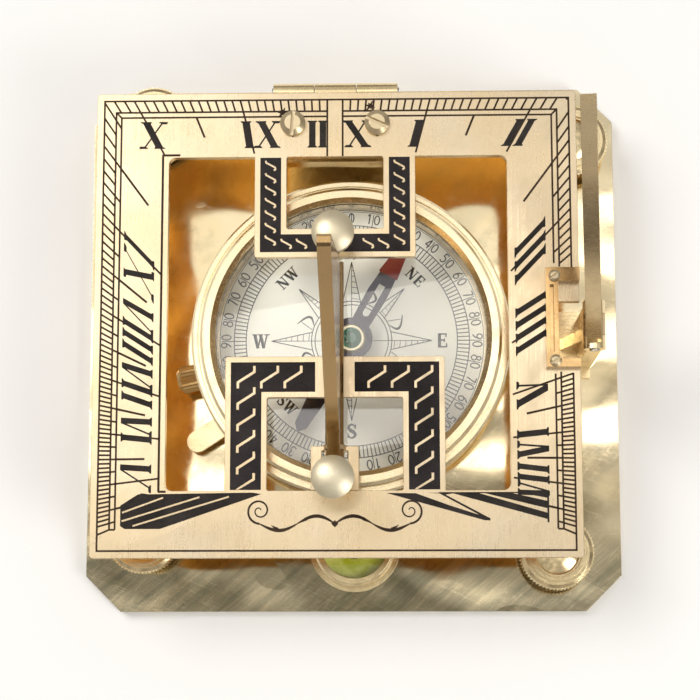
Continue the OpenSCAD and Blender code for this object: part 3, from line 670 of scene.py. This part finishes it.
def hour_lines():
    """Full hour lines, from the ring to the window, and the two lines of the noon strip."""
    out = []
    for hours in range(-7, 8):
        if hours == 0:
            continue
        side = side_of(hours)
        p, q = [fan_point(hours, side, inset) for inset in (RING_IN, WINDOW_IN[side] - HOUR_GAP[side])]
        out += split_line(p, q, LINE_W, 6)
    for step in (-1, 1):
        x = NOON_X + step * NOON_HALF
        out.append(stroke((x, NORTH - BORDER_IN), (x, WINDOW_N + 0.05), LINE_W))
    return clip_to_guide(out)


def window_outline():
    """The line beside the window, on its west side and turned in at both ends."""
    x = WINDOW_W - 0.85
    top, low = WINDOW_N + 0.35, WINDOW_S - 0.1
    lines = (((x, low), (x, top)), ((x - 0.1, top), (x + 2.4, top)), ((x - 0.1, low), (x + 1.0, low)))
    return [stroke(a, b, LINE_W * 1.2) for a, b in lines]


# ---- Roman numerals ----

# How far a serif stands out from its bar
SERIF = 0.22
# Insets of the numerals' feet and tops from the plate's edge, and the way that the writing runs
HEIGHT_INSETS = {"north": (4.0, 7.85), "west": (4.0, 8.25), "east": (4.45, 8.75)}
SIDE_STEP = {"north": (-1, 0), "west": (0, -1), "east": (0, 1)}


def glyph_place(hours, side, shear):
    """Maps a glyph's coordinates to the plate: u along the side in mm, v from 0 at its foot to 1 on top."""
    outer, inner = HEIGHT_INSETS[side]
    foot, top = fan_point(hours, side, outer), fan_point(hours, side, inner)
    ux, uy = SIDE_STEP[side]
    middle = ((foot[0] + top[0]) / 2, (foot[1] + top[1]) / 2)
    if side == "north":
        straight = ((middle[0], foot[1]), (middle[0], top[1]))
    else:
        straight = ((foot[0], middle[1]), (top[0], middle[1]))
    foot = tuple(a * shear + b * (1 - shear) for a, b in zip(foot, straight[0]))
    top = tuple(a * shear + b * (1 - shear) for a, b in zip(top, straight[1]))

    def place(u, v):
        return (foot[0] + (top[0] - foot[0]) * v + ux * u, foot[1] + (top[1] - foot[1]) * v + uy * u)
    return place


def slab(u_foot, u_top, width):
    """A glyph stroke from foot to top, cut off along the writing lines."""
    h = width / 2
    return [(u_foot - h, 0), (u_foot + h, 0), (u_top + h, 1), (u_top - h, 1)]


def serif(u, v, half):
    """A thin foot or head line with small brackets."""
    inward = 1 if v < 0.5 else -1
    thin, deep, narrow = v + inward * 0.035, v + inward * 0.09, half * 0.55
    return [(u - half, v), (u + half, v), (u + half, thin), (u + narrow, deep), (u - narrow, deep),
            (u - half, thin)]


# Widths of the numerals' two kinds of strokes
THICK, THIN = 1.0, 0.26


def glyph_i(u, width=THICK):
    """The figure one: an upright bar between two serifs."""
    half = width / 2 + SERIF
    return [slab(u, u, width), serif(u, 0, half), serif(u, 1, half)]


def bars(width, *places):
    """A row of the figure one."""
    return [glyph_i(u, width) for u in places]


def glyph_v(foot, left, right, width=THICK):
    """The figure five: a thick and a thin stroke from one foot."""
    return [slab(foot + width * 0.25, left, width), slab(foot + width * 0.55, right, THIN),
            serif(left, 1, width / 2 + SERIF), serif(right, 1, 0.55)]


def glyph_x(thick_foot, thick_top, thin_foot, thin_top, width=THICK):
    """The figure ten: a thick and a thin stroke that cross."""
    return [slab(thick_foot, thick_top, width), slab(thin_foot, thin_top, THIN),
            serif(thick_foot, 0, width / 2 + SERIF), serif(thick_top, 1, width / 2 + SERIF),
            serif(thin_foot, 0, 0.6), serif(thin_top, 1, 0.6)]


def numeral_outlines():
    """All the numerals that stand in a straight band, hours counted from noon."""
    bold, slim = 1.05, 0.8
    text = {
        -7: [glyph_v(-2.4, -1.4, 1.3, slim)],
        -6: [glyph_v(-2.2, -2.2, -0.4, slim), *bars(slim, 0.25)],
        -5: [glyph_v(-2.8, -2.7, -0.7, slim), *bars(slim, -0.15, 1.55)],
        -4: [glyph_v(-3.15, -3.2, -0.95, slim), *bars(slim, -0.25, 1.3, 2.9)],
        -3: [*bars(slim, -0.15), glyph_x(5.0, 1.4, 1.5, 4.5, slim)],
        -2: [glyph_x(0.0, 0.15, -2.4, 2.4, bold)],
        -1: [glyph_x(-1.9, -3.3, -4.0, -0.9, bold), *bars(bold, 0.2)],
        0: [glyph_x(-1.75, -4.3, -4.3, -1.9, bold), *bars(0.9, 1.68, 3.15)],
        1: bars(bold, 0.6),
        2: bars(0.95, 0.55, -1.05),
        3: bars(THICK, 1.9, 0.0, -1.9),
        4: bars(0.9, 3.7, 1.95, 0.2, -1.55),
        5: [glyph_v(-0.9, -1.6, 1.0)],
        6: [glyph_v(-2.2, -2.4, -1.0, 0.8), *bars(0.8, 0.3)],
        7: [glyph_v(-1.7, -1.9, -0.6, 0.7), *bars(0.75, 0.25, 1.65)],
    }
    # How far each numeral slants with its hour line, where it isn't all the way
    upright = {-1: 0.6, 0: 0.0}
    out = []
    for hours, glyphs in text.items():
        side = "north" if abs(hours) <= 2 else ("west" if hours < 0 else "east")
        place = glyph_place(hours or 1e-4, side, upright.get(hours, 1.0))
        for glyph in glyphs:
            out += [[place(u, v) for u, v in outline] for outline in glyph]
    return out


def corner_numerals():
    """The first and last hours, which lean far over and run out along the south margin."""
    top = WINDOW_S - 0.35
    out = [[(-31.0, top - 1.6), (-31.0, -26.8), (-30.4, -27.2), (-25.6, -27.2), (-11.9, top - 0.1),
            (-13.2, top + 0.1), (-28.65, top - 0.1)],
           [(-29.2, top - 0.5), (-28.2, top + 0.05), (-26.6, top - 0.15), (-26.6, top - 0.4)]]
    # Eighth hour, east: a V that opens to the west and three bars
    right = EAST - 4.7
    out += [[(4.9, top), (8.9, top - 0.05), (13.6, top - 1.75), (18.9, top - 3.45), (18.9, top - 3.75),
             (18.1, top - 3.7)],
            [(18.9, top - 3.75), (17.9, top - 3.25), (12.1, top - 0.1), (10.4, top), (14.6, top),
             (12.9, top - 0.25), (18.9, top - 3.45)],
            [(right, top - 3.6), (right, top - 2.75), (17.2, top), (13.6, top)],
            [(right, top - 2.15), (right, top - 1.15), (21.6, top), (17.9, top)],
            [(right, top - 0.75), (right, top + 0.1), (22.3, top + 0.1)]]
    out.append(stroke((right, top + 0.1), (right, top - 4.0), 0.26))
    out.append(stroke((12.0, top), (right, top), 0.16))
    return out


def corner_gaps():
    """The thin bright lines that part the four bars of the first hour."""
    top = WINDOW_S - 0.45
    lines = (((-30.75, -25.0), (-25.2, top - 0.45)), ((-30.8, -26.15), (-20.3, top - 0.4)),
             ((-29.3, -26.8), (-16.3, top - 0.35)))
    return [stroke(p, q, 0.24) for p, q in lines]


# The scroll: its height on the plate, how far and how high its waves go, and its spirals
SCROLL_Y = SOUTH + 4.6
SCROLL_REACH, SCROLL_HIGH = 10.14, 1.1
SPIRAL_R, SPIRAL_EYE, SPIRAL_SWEEP = 1.75, 0.2, 600
LEAF = ((0, 0), (0.5, 0.55), (1.5, 0.9), (0.8, 0.15))
LEAF_PLACES = (3.25, 7.15)


def scroll_wave(step):
    """The wave from the middle to one end, thicker at its crests."""
    times = [i / 40 for i in range(41)]
    points = [(NOON_X + step * SCROLL_REACH * t,
               SCROLL_Y + SCROLL_HIGH * math.sin(math.tau * t) * (1 - 0.25 * t)) for t in times]
    return ribbon(points, [0.16 + 0.32 * abs(math.sin(math.tau * t)) for t in times])


def scroll_spiral(step):
    """The spiral that the wave ends in, thinner towards its eye."""
    times = [i / 44 for i in range(45)]
    points = []
    for t in times:
        a = math.radians(-90 + SPIRAL_SWEEP * t)
        r = SPIRAL_EYE + (SPIRAL_R - SPIRAL_EYE) * (1 - t)
        points.append((NOON_X + step * (SCROLL_REACH + 0.02 + r * math.cos(a)),
                       SCROLL_Y + SPIRAL_R + r * math.sin(a)))
    return ribbon(points, [0.3 - 0.16 * t for t in times])


def flourish():
    """A plain scroll in the middle of the south margin: a wave with a spiral at each end."""
    out = []
    for step in (-1, 1):
        out += [scroll_wave(step), scroll_spiral(step)]
        for reach in LEAF_PLACES:
            x = NOON_X + step * reach
            y = SCROLL_Y + SCROLL_HIGH * math.sin(math.tau * reach / SCROLL_REACH)
            away = 1 if y < SCROLL_Y else -1
            out.append([(x + step * u, y + away * v) for u, v in LEAF])
    out.append([(NOON_X + u, SCROLL_Y + v) for u, v in ((-0.5, 0), (0, 0.5), (0.5, 0), (0, -0.5))])
    return out


def screw_burrs():
    """The small dark scars that the hinge screws' slots left on the plate beside them."""
    spokes = ((10, 0.55), (65, 0.8), (120, 0.5), (170, 0.7), (230, 0.85), (290, 0.5), (335, 0.7))
    out = []
    for x, y in ((NOON_X - 7.3, HINGE_Y - 3.6), (NOON_X + 4.9, HINGE_Y - 2.7)):
        for angle, reach in spokes:
            a = math.radians(angle)
            out.append(stroke((x, y), (x + reach * math.cos(a), y + reach * math.sin(a)), 0.42, 0.12))
    return out


def dial_inlay(name, outlines, material, z0=DIAL_TOP, thick=INLAY):
    """An inlay that rides on the dial."""
    return inlay_piece(name, outlines, z0, thick, "dial", MATERIALS[material])


def engrave_dial():
    """All the lines, numerals and ornaments on the dial outside its tongues."""
    lines = ring_lines() + minute_ticks() + hour_lines() + window_outline()
    dial_inlay("dial_lines", lines, "engraving")
    dial_inlay("dial_numerals", numeral_outlines() + corner_numerals(), "ink", thick=CUT)
    dial_inlay("numeral_gaps", corner_gaps(), "dial", z0=DIAL_TOP + CUT)
    dial_inlay("dial_flourish", flourish(), "engraving")
    dial_inlay("screw_burrs", screw_burrs(), "engraving", thick=CUT)


# ---- Enamelled tongues ----

# The plain border of the tongues
ENAMEL_IN = 0.75
# The enamel's motifs: a small slanted S, and a bent bar that falls to the west
S_LINE = ((-0.72, 0.62), (-0.62, 0.32), (-0.2, 0.1), (0.35, -0.2), (0.62, -0.36), (0.66, -0.6),
          (0.42, -0.78))
Z_LINE = ((1.12, 1.55), (1.12, 0.72), (-1.12, -0.72), (-1.12, -1.55))


def u_field(half, bar_edge, bar_in, leg, end):
    """Rectangles for the two legs of a U and for its bar, inside its border. end is where its legs stop."""
    w, e = NOON_X - half, NOON_X + half
    away = 1 if end > bar_edge else -1
    y0 = bar_edge + away * ENAMEL_IN
    y1 = bar_edge + away * (bar_in - ENAMEL_IN)
    leg_in = leg - ENAMEL_IN
    legs = [box_outline(w + ENAMEL_IN, y0, w + leg_in, end), box_outline(e - leg_in, y0, e - ENAMEL_IN, end)]
    return legs, box_outline(w + leg_in, y0, e - leg_in, y1)


def motifs(line, width, places):
    """The same bent line at each of some places, given from the noon line."""
    return [ribbon([(NOON_X + x + u, y + v) for u, v in line], width) for x, y in places]


def enamel_tongue(name, fields, shapes):
    """Black fields and the brass shapes on them."""
    dial_inlay("enamel_" + name, fields, "enamel")
    dial_inlay("motif_" + name, shapes, "dial", z0=DIAL_TOP + INLAY)


def enamel_upper():
    """The north tongue, with seven S shapes down each leg and two on each half of its bar."""
    legs, bar = u_field(UPPER_HALF, UPPER_S, UPPER_BAR, UPPER_LEG, WINDOW_N - 0.1)
    leg_x, bar_y = UPPER_HALF - UPPER_LEG / 2, UPPER_S + UPPER_BAR / 2
    places = [(step * leg_x, WINDOW_N - 1.15 - 1.76 * i) for step in (-1, 1) for i in range(7)]
    places += [(step * x, bar_y) for step in (-1, 1) for x in (4.6, 6.7)]
    enamel_tongue("upper", legs + [bar], motifs(S_LINE, 0.26, places))


def enamel_lower():
    """The south tongue, whose bar leaves the noon strip plain."""
    legs, ((w, y0), _, (e, y1), _) = u_field(LOWER_HALF, LOWER_N, LOWER_BAR, LOWER_LEG, WINDOW_S + 0.1)
    gap = 2.68
    halves = [box_outline(w, y0, NOON_X - gap, y1), box_outline(NOON_X + gap, y0, e, y1)]
    leg_x, bar_y = LOWER_HALF - LOWER_LEG / 2, LOWER_N - LOWER_BAR / 2
    side = [(leg_x, bar_y - 2.93 * i) for i in range(6)] + [(5.7, bar_y), (8.9, bar_y)]
    shapes = motifs(Z_LINE, 0.36, [(step * x, y) for step in (-1, 1) for x, y in side])
    shapes = [[(x, max(y, WINDOW_S + 0.15)) for x, y in shape] for shape in shapes]
    enamel_tongue("lower", legs + halves, shapes)


# ---- Compass card ----

BOLD, THIN_LINE, HAIR = 0.22, 0.10, 0.07
# Straight strokes of the capitals, one unit high: their ends and their widths
LETTERS = {
    "N": ((0.16, 0, 0.16, 1, THIN_LINE), (0.14, 1, 0.70, 0, BOLD), (0.72, 0, 0.72, 1, THIN_LINE),
          (-0.03, 0.03, 0.35, 0.03, HAIR), (-0.07, 0.97, 0.31, 0.97, HAIR), (0.53, 0.97, 0.91, 0.97, HAIR)),
    "E": ((0.2, 0, 0.2, 1, BOLD), (0.1, 0.04, 0.72, 0.04, THIN_LINE), (0.1, 0.96, 0.68, 0.96, THIN_LINE),
          (0.25, 0.52, 0.56, 0.52, THIN_LINE), (0.70, 0, 0.70, 0.3, THIN_LINE),
          (0.66, 0.74, 0.66, 1, THIN_LINE), (0.55, 0.38, 0.55, 0.66, HAIR)),
    "S": ((0.63, 0.66, 0.63, 0.98, HAIR), (0.11, 0.02, 0.11, 0.34, HAIR)),
    "W": ((0.12, 1, 0.36, 0, BOLD), (0.36, 0, 0.58, 0.98, THIN_LINE), (0.52, 1, 0.78, 0, BOLD),
          (0.78, 0, 1, 1, THIN_LINE), (-0.05, 0.97, 0.33, 0.97, HAIR), (0.35, 0.97, 0.73, 0.97, HAIR),
          (0.81, 0.97, 1.19, 0.97, HAIR)),
}
# How far apart the letters' starts stand
ADVANCE = {"N": 0.98, "E": 0.88, "S": 0.78, "W": 1.18}
# The bent line of the S, with its width at each point
S_CURVE = ((0.60, 0.76, 0.08), (0.52, 0.92, 0.10), (0.36, 0.98, 0.12), (0.18, 0.90, 0.15), (0.14, 0.72, 0.19),
           (0.28, 0.56, 0.24), (0.50, 0.44, 0.24), (0.62, 0.27, 0.19), (0.56, 0.10, 0.15), (0.38, 0.02, 0.12),
           (0.20, 0.07, 0.10), (0.12, 0.24, 0.08))


def letter_outlines(text):
    """Capital letters of the compass points, one unit high, drawn as bold strokes with serifs."""
    out, x = [], 0.0
    for letter in text:
        shapes = []
        if letter == "S":
            shapes.append(ribbon([(u, v) for u, v, _ in S_CURVE], [w for _, _, w in S_CURVE]))
        shapes += [stroke((a, b), (c, d), w) for a, b, c, d, w in LETTERS[letter]]
        out += [[(u + x, v) for u, v in outline] for outline in shapes]
        x += ADVANCE[letter]
    return [[(u - x / 2 + 0.02, v - 0.5) for u, v in outline] for outline in out]


def place_on_card(outlines, r, degrees, height, turn=0):
    """Puts outlines on the card at a bearing, turned clockwise about their own middle."""
    cx, cy = bearing(r, degrees)
    spun = [[rotate_point(p, math.radians(-turn)) for p in outline] for outline in outlines]
    return [[(cx + height * u, cy + height * v) for u, v in outline] for outline in spun]


def digit_outlines(digit):
    """Thin upright figures, one unit high, about 0.5 wide."""
    def loop(cx, cy, rx, ry, start=0, end=360, steps=14):
        return arc_points(cx, cy, rx, start, end, steps, ry)
    width = 0.12
    lines = {
        "0": [loop(0, 0.5, 0.24, 0.46)],
        "1": [[(-0.14, 0.78), (0.04, 1.0)], [(0.04, 1.0), (0.04, 0.0)]],
        "2": [loop(0, 0.72, 0.22, 0.24, 170, -40, 9) + [(-0.22, 0.04)], [(-0.22, 0.05), (0.26, 0.05)]],
        "3": [loop(-0.02, 0.73, 0.2, 0.23, 150, -80, 9), loop(-0.02, 0.27, 0.24, 0.26, 80, -150, 9)],
        "4": [[(0.12, 0.0), (0.12, 1.0)], [(0.12, 1.0), (-0.24, 0.3)], [(-0.26, 0.3), (0.26, 0.3)]],
        "5": [[(0.2, 0.95), (-0.16, 0.95)], [(-0.16, 1.0), (-0.18, 0.56)],
              loop(-0.03, 0.3, 0.24, 0.3, 120, -140, 10)],
        "6": [loop(0, 0.28, 0.23, 0.27), [(0.16, 0.98), (-0.1, 0.7), (-0.22, 0.34)]],
        "7": [[(-0.22, 0.95), (0.24, 0.95)], [(0.23, 0.97), (-0.06, 0.0)]],
        "8": [loop(0, 0.75, 0.18, 0.22), loop(0, 0.27, 0.24, 0.27)],
        "9": [loop(0, 0.72, 0.23, 0.27), [(-0.16, 0.02), (0.1, 0.3), (0.22, 0.66)]],
    }
    out = []
    for line in lines[digit]:
        closed = math.dist(line[0], line[-1]) < 1e-6
        out += [stroke(a, b, width) for a, b in zip(line, line[1:])] if closed else [ribbon(line, width)]
    return out


def number_outlines(text, gap):
    """A number about its own middle, one unit high, with its digits a gap apart."""
    out = []
    for i, digit in enumerate(text):
        x = (i - (len(text) - 1) / 2) * gap
        out += [[(u + x, v - 0.5) for u, v in o] for o in digit_outlines(digit)]
    return out


# The card's outer line, the two circles of its degree ring, and the circle of its letters
CARD_R = 18.85
TICK_OUT, TICK_IN = 16.7, 15.0
POINTS_R = 12.9


def card_print():
    """Degree ring, numbers by tens in four quadrants, compass points, star and small ornaments."""
    out = []
    for r, w in ((TICK_OUT, 0.13), (TICK_IN, 0.13), (CARD_R - 0.12, 0.08)):
        out += ring_parts(0, 0, r, w)
    for d in range(0, 360, 2):
        out.append(stroke(bearing(TICK_IN, d), bearing(TICK_OUT, d), 0.13))
    for d in range(0, 360, 10):
        out.append(stroke(bearing(TICK_OUT, d), bearing(CARD_R - 0.35, d), 0.11))
        figures = number_outlines(str(90 - abs(90 - d % 180)), 0.78)
        out += place_on_card(figures, (TICK_OUT + CARD_R) / 2 + 0.05, d, 1.45, turn=d)
    for d, text, height in ((0, "N", 2.1), (90, "E", 2.0), (180, "S", 2.0), (270, "W", 2.0)):
        out += place_on_card(letter_outlines(text), POINTS_R, d, height)
    for d, text, turn in ((45, "NE", 45), (135, "SE", -45), (225, "SW", 45), (315, "NW", 315)):
        out += place_on_card(letter_outlines(text), POINTS_R, d, 1.6, turn)
    return out + star_outlines()


def star_outlines():
    """Eight outlined points round a plain disc, hatched on one side, with a hooked leaf between them."""
    out = []
    line, hub = 0.12, 5.7
    hatch = 7
    for w, r in ((line, hub), (line, hub - 0.5), (0.09, 2.6)):
        out += ring_parts(0, 0, r, w, 48)
    for d in range(0, 360, 45):
        tip_r, half, start_r = (11.4, 13, 3.0) if d % 90 == 0 else (10.6, 10, hub)
        root, tip = bearing(hub, d), bearing(tip_r, d)
        out.append(stroke(bearing(start_r, d), tip, 0.09))
        out += [stroke(bearing(hub, d + step * half), tip, line) for step in (-1, 1)]
        shoulder = bearing(hub, d + half)
        for i in range(hatch):
            t = (i + 0.5) / hatch
            ends = [tuple(u + (v - u) * t for u, v in zip(side, tip)) for side in (root, shoulder)]
            out.append(stroke(*ends, 0.08))
        out.append(stroke(bearing(hub + 0.1, d + 16), bearing(hub + 1.9, d + 21), 0.09))
        times = [i / 8 for i in range(9)]
        leaf = [bearing(hub + 0.1 + 2.3 * t, d + 22.5 + 8 * math.sin(math.pi * t * 1.2)) for t in times]
        out.append(ribbon(leaf, [0.10 + 0.22 * math.sin(math.pi * t) for t in times]))
    return out


# The needle's bearing, and its outline beyond the slot: half its width, and three distances from the pivot
NEEDLE_BEARING = 30
NEEDLE_HALF = 1.48
NEEDLE_ROOT, NEEDLE_SHOULDER, NEEDLE_TIP = 10.4, 14.18, 15.2


def needle_paint():
    """The red north tip, a thin coat over the needle's own outline beyond the slot."""
    outline = [(-NEEDLE_HALF, NEEDLE_ROOT), (NEEDLE_HALF, NEEDLE_ROOT), (0.92, NEEDLE_SHOULDER),
               (0.02, NEEDLE_TIP), (-0.02, NEEDLE_TIP), (-0.92, NEEDLE_SHOULDER)]
    turned = [rotate_point(p, math.radians(-NEEDLE_BEARING)) for p in outline]
    top = node_box("compass_needle")[1].z
    inlay_piece("needle_red_tip", [turned], top, 0.03, "needle", MATERIALS["red"])


# ---- Latitude arc ----

ARC_IN, ARC_THICK, ARC_LEAN = 31.3, 2.0, 6.0
ARC_PIN_X, _, ARC_PIN_Z = node_centre("arc_pin")
# The scale's inner line, its degrees, the half width of its lines, and a radius at the middle of the arc
SCALE_IN, SCALE_FROM, SCALE_TO, SCALE_HALF = ARC_IN + 0.5, 17, 72, 0.07
SCALE_MIDDLE = 34.0


def arc_place(face):
    """Maps (radius, degrees above the hinge's level) on a face of the arc to the scene, leaning with it."""
    lean = math.radians(ARC_LEAN)

    def place(radius, degrees, z):
        angle = math.radians(degrees)
        out, up = face * (ARC_THICK / 2 + z), HINGE_Z + radius * math.sin(angle) - ARC_PIN_Z
        return in_metres(ARC_PIN_X + out * math.cos(lean) - up * math.sin(lean),
                         HINGE_Y - radius * math.cos(angle),
                         ARC_PIN_Z + out * math.sin(lean) + up * math.cos(lean))
    return place


def arc_scale(face, name):
    """Degree lines and figures on one face of the arc."""
    per_degree = math.radians(1) * SCALE_MIDDLE
    outlines = [box_outline(r - SCALE_HALF, d, r + SCALE_HALF, d + 1)
                for r in (SCALE_IN, SCALE_IN + 1.5) for d in range(SCALE_FROM, SCALE_TO)]
    half = SCALE_HALF / per_degree
    for d in range(SCALE_FROM, SCALE_TO + 1):
        reach = 1.5 if d % 5 else (2.1 if d % 10 else 2.6)
        outlines.append(box_outline(SCALE_IN, d - half, SCALE_IN + reach, d + half))
        if d % 10 == 0:
            outlines += [[(SCALE_IN + 4.1 + v * 1.5, d + face * u * 1.5 / per_degree) for u, v in outline]
                         for outline in number_outlines(str(d), 0.7)]
    bm = bmesh.new()
    for outline in outlines:
        add_prism(bm, outline, 0, INLAY, arc_place(face))
    return finish_piece(name, bm, "arc", MATERIALS["engraving"])


# ---- Bull's-eye level ----

def level_ring():
    """The black circle on the level's glass that the bubble is centred in."""
    cx, cy, _ = node_centre("level_glass")
    ring, top = ring_parts(cx, cy, 1.9, 0.16, 36), node_box("level_glass")[1].z
    inlay_piece("level_circle", ring, top, INLAY, "base", MATERIALS["ink"])


# ---- Setting ----

# The camera's angles, its distance from the target in millimetres, and its lens
AZIMUTH, ELEVATION, ROLL = math.radians(10.49), math.radians(81.08), math.radians(-0.05)
DISTANCE = 275.97
TARGET = Vector((-0.38, -0.55, BASE_TOP))
LENS, SENSOR = 98.22, 36.0


def make_camera():
    """The camera, which looks almost straight down on the dial."""
    back = Vector((math.sin(AZIMUTH) * math.cos(ELEVATION), -math.cos(AZIMUTH) * math.cos(ELEVATION),
                   math.sin(ELEVATION)))
    right = Vector((0, 1, 0)).cross(back).normalized()
    up = back.cross(right)
    c, s = math.cos(ROLL), math.sin(ROLL)
    x_axis, y_axis = c * right + s * up, -s * right + c * up
    data = bpy.data.cameras.new("camera")
    data.lens, data.sensor_width = LENS, SENSOR
    data.clip_start, data.clip_end = 0.01, 5.0
    camera = bpy.data.objects.new("camera", data)
    bpy.context.scene.collection.objects.link(camera)
    place = (TARGET + back * DISTANCE) * MM
    turn = Matrix((x_axis, y_axis, back)).transposed()
    camera.matrix_world = Matrix.Translation(place) @ turn.to_4x4()
    bpy.context.scene.camera = camera


def make_floor():
    """A wide pale floor under the base."""
    half = 3000.0
    bm = bmesh.new()
    bm.faces.new([bm.verts.new(in_metres(x, y, 0)) for x, y in box_outline(-half, -half, half, half)])
    mat, tree, shader = new_material("pale_floor")
    feed(shader, Base_Color=mix_colour(tree, cloud_noise(tree, 0.5), (0.97, 0.97, 0.965), (0.98, 0.98, 0.98)))
    shader.inputs["Roughness"].default_value = 0.8
    mesh_object("floor", bm, mat)


def area_light(name, place, size, energy, colour):
    """A soft box in millimetres, aimed at the origin."""
    data = bpy.data.lights.new(name, "AREA")
    data.shape = "RECTANGLE"
    data.size, data.size_y = size[0] * MM, size[1] * MM
    data.energy = energy
    data.color = colour
    light = bpy.data.objects.new(name, data)
    bpy.context.scene.collection.objects.link(light)
    light.location = in_metres(*place)
    light.rotation_euler = light.location.to_track_quat("Z", "Y").to_euler()


# The tent's colours by height, from its foot to its top
TENT = ((0.0, (0.55, 0.53, 0.50, 1)), (0.12, (0.34, 0.31, 0.28, 1)), (0.5, (0.50, 0.47, 0.43, 1)),
        (0.85, (0.85, 0.83, 0.80, 1)), (1.0, (1.0, 0.99, 0.97, 1)))
# The dark oval in the tent: the direction of its middle, and how far each axis is squeezed
OVAL_PLACE = (-0.03, -0.03, 1.0)
OVAL_STRETCH = (5.0, 11.0, 1.0)


def make_light():
    """A bright tent with a darker band near the horizon, and three soft boxes."""
    world = bpy.data.worlds.new("studio")
    bpy.context.scene.world = world
    world.use_nodes = True
    tree = world.node_tree
    background = tree.nodes["Background"]
    coords = add_node(tree, "TexCoord")
    parts = add_node(tree, "SeparateXYZ", {0: coords.outputs["Generated"]})
    ramp = add_node(tree, "ValToRGB", {0: parts.outputs[2]})
    stops = ramp.color_ramp.elements
    stops[0].color, stops[1].color = TENT[0][1], TENT[-1][1]
    for position, colour in TENT[1:-1]:
        stops.new(position).color = colour
    # Dark shapes in the tent, which polished metal picks up
    look = {"Vector": coords.outputs["Generated"], "Scale": 5.5, "Detail": 2.0}
    shapes = add_node(tree, "TexNoise", look)
    shade = remap(tree, shapes.outputs["Fac"], 0.42, 0.60, 0.40, 1.08)
    lit = mix_colour(tree, 1.0, ramp.outputs[0], shade, "MULTIPLY")
    # The dark oval overhead where a camera would hang, seen in the south edge of the base
    offset = add_node(tree, "VectorMath", {0: coords.outputs["Generated"], 1: OVAL_PLACE},
                      operation="SUBTRACT")
    scaled = add_node(tree, "VectorMath", {0: offset.outputs[0], 1: OVAL_STRETCH}, operation="MULTIPLY")
    reach = add_node(tree, "VectorMath", {0: scaled.outputs[0]}, operation="LENGTH")
    lit = mix_colour(tree, remap(tree, reach.outputs["Value"], 0.6, 1.3, 0.85, 0.0), lit, (0.15, 0.14, 0.11))
    tree.links.new(lit, background.inputs["Color"])
    background.inputs["Strength"].default_value = 1.12
    area_light("key_light", (-260, 180, 420), (260, 200), 1.1, (1.0, 0.98, 0.95))
    area_light("fill_light", (320, -240, 300), (200, 260), 0.8, (1.0, 0.99, 0.97))
    area_light("strip_light", (-10, 62, 480), (320, 60), 0.13, (1.0, 0.95, 0.90))
    bpy.context.scene.view_settings.view_transform = "Standard"


dress_nodes()
engrave_dial()
enamel_upper()
enamel_lower()
inlay_piece("card_print", card_print(), CARD_TOP, INLAY, "base", MATERIALS["ink"])
needle_paint()
arc_scale(-1, "arc_scale_west")
arc_scale(1, "arc_scale_east")
level_ring()
make_camera()
make_floor()
make_light()
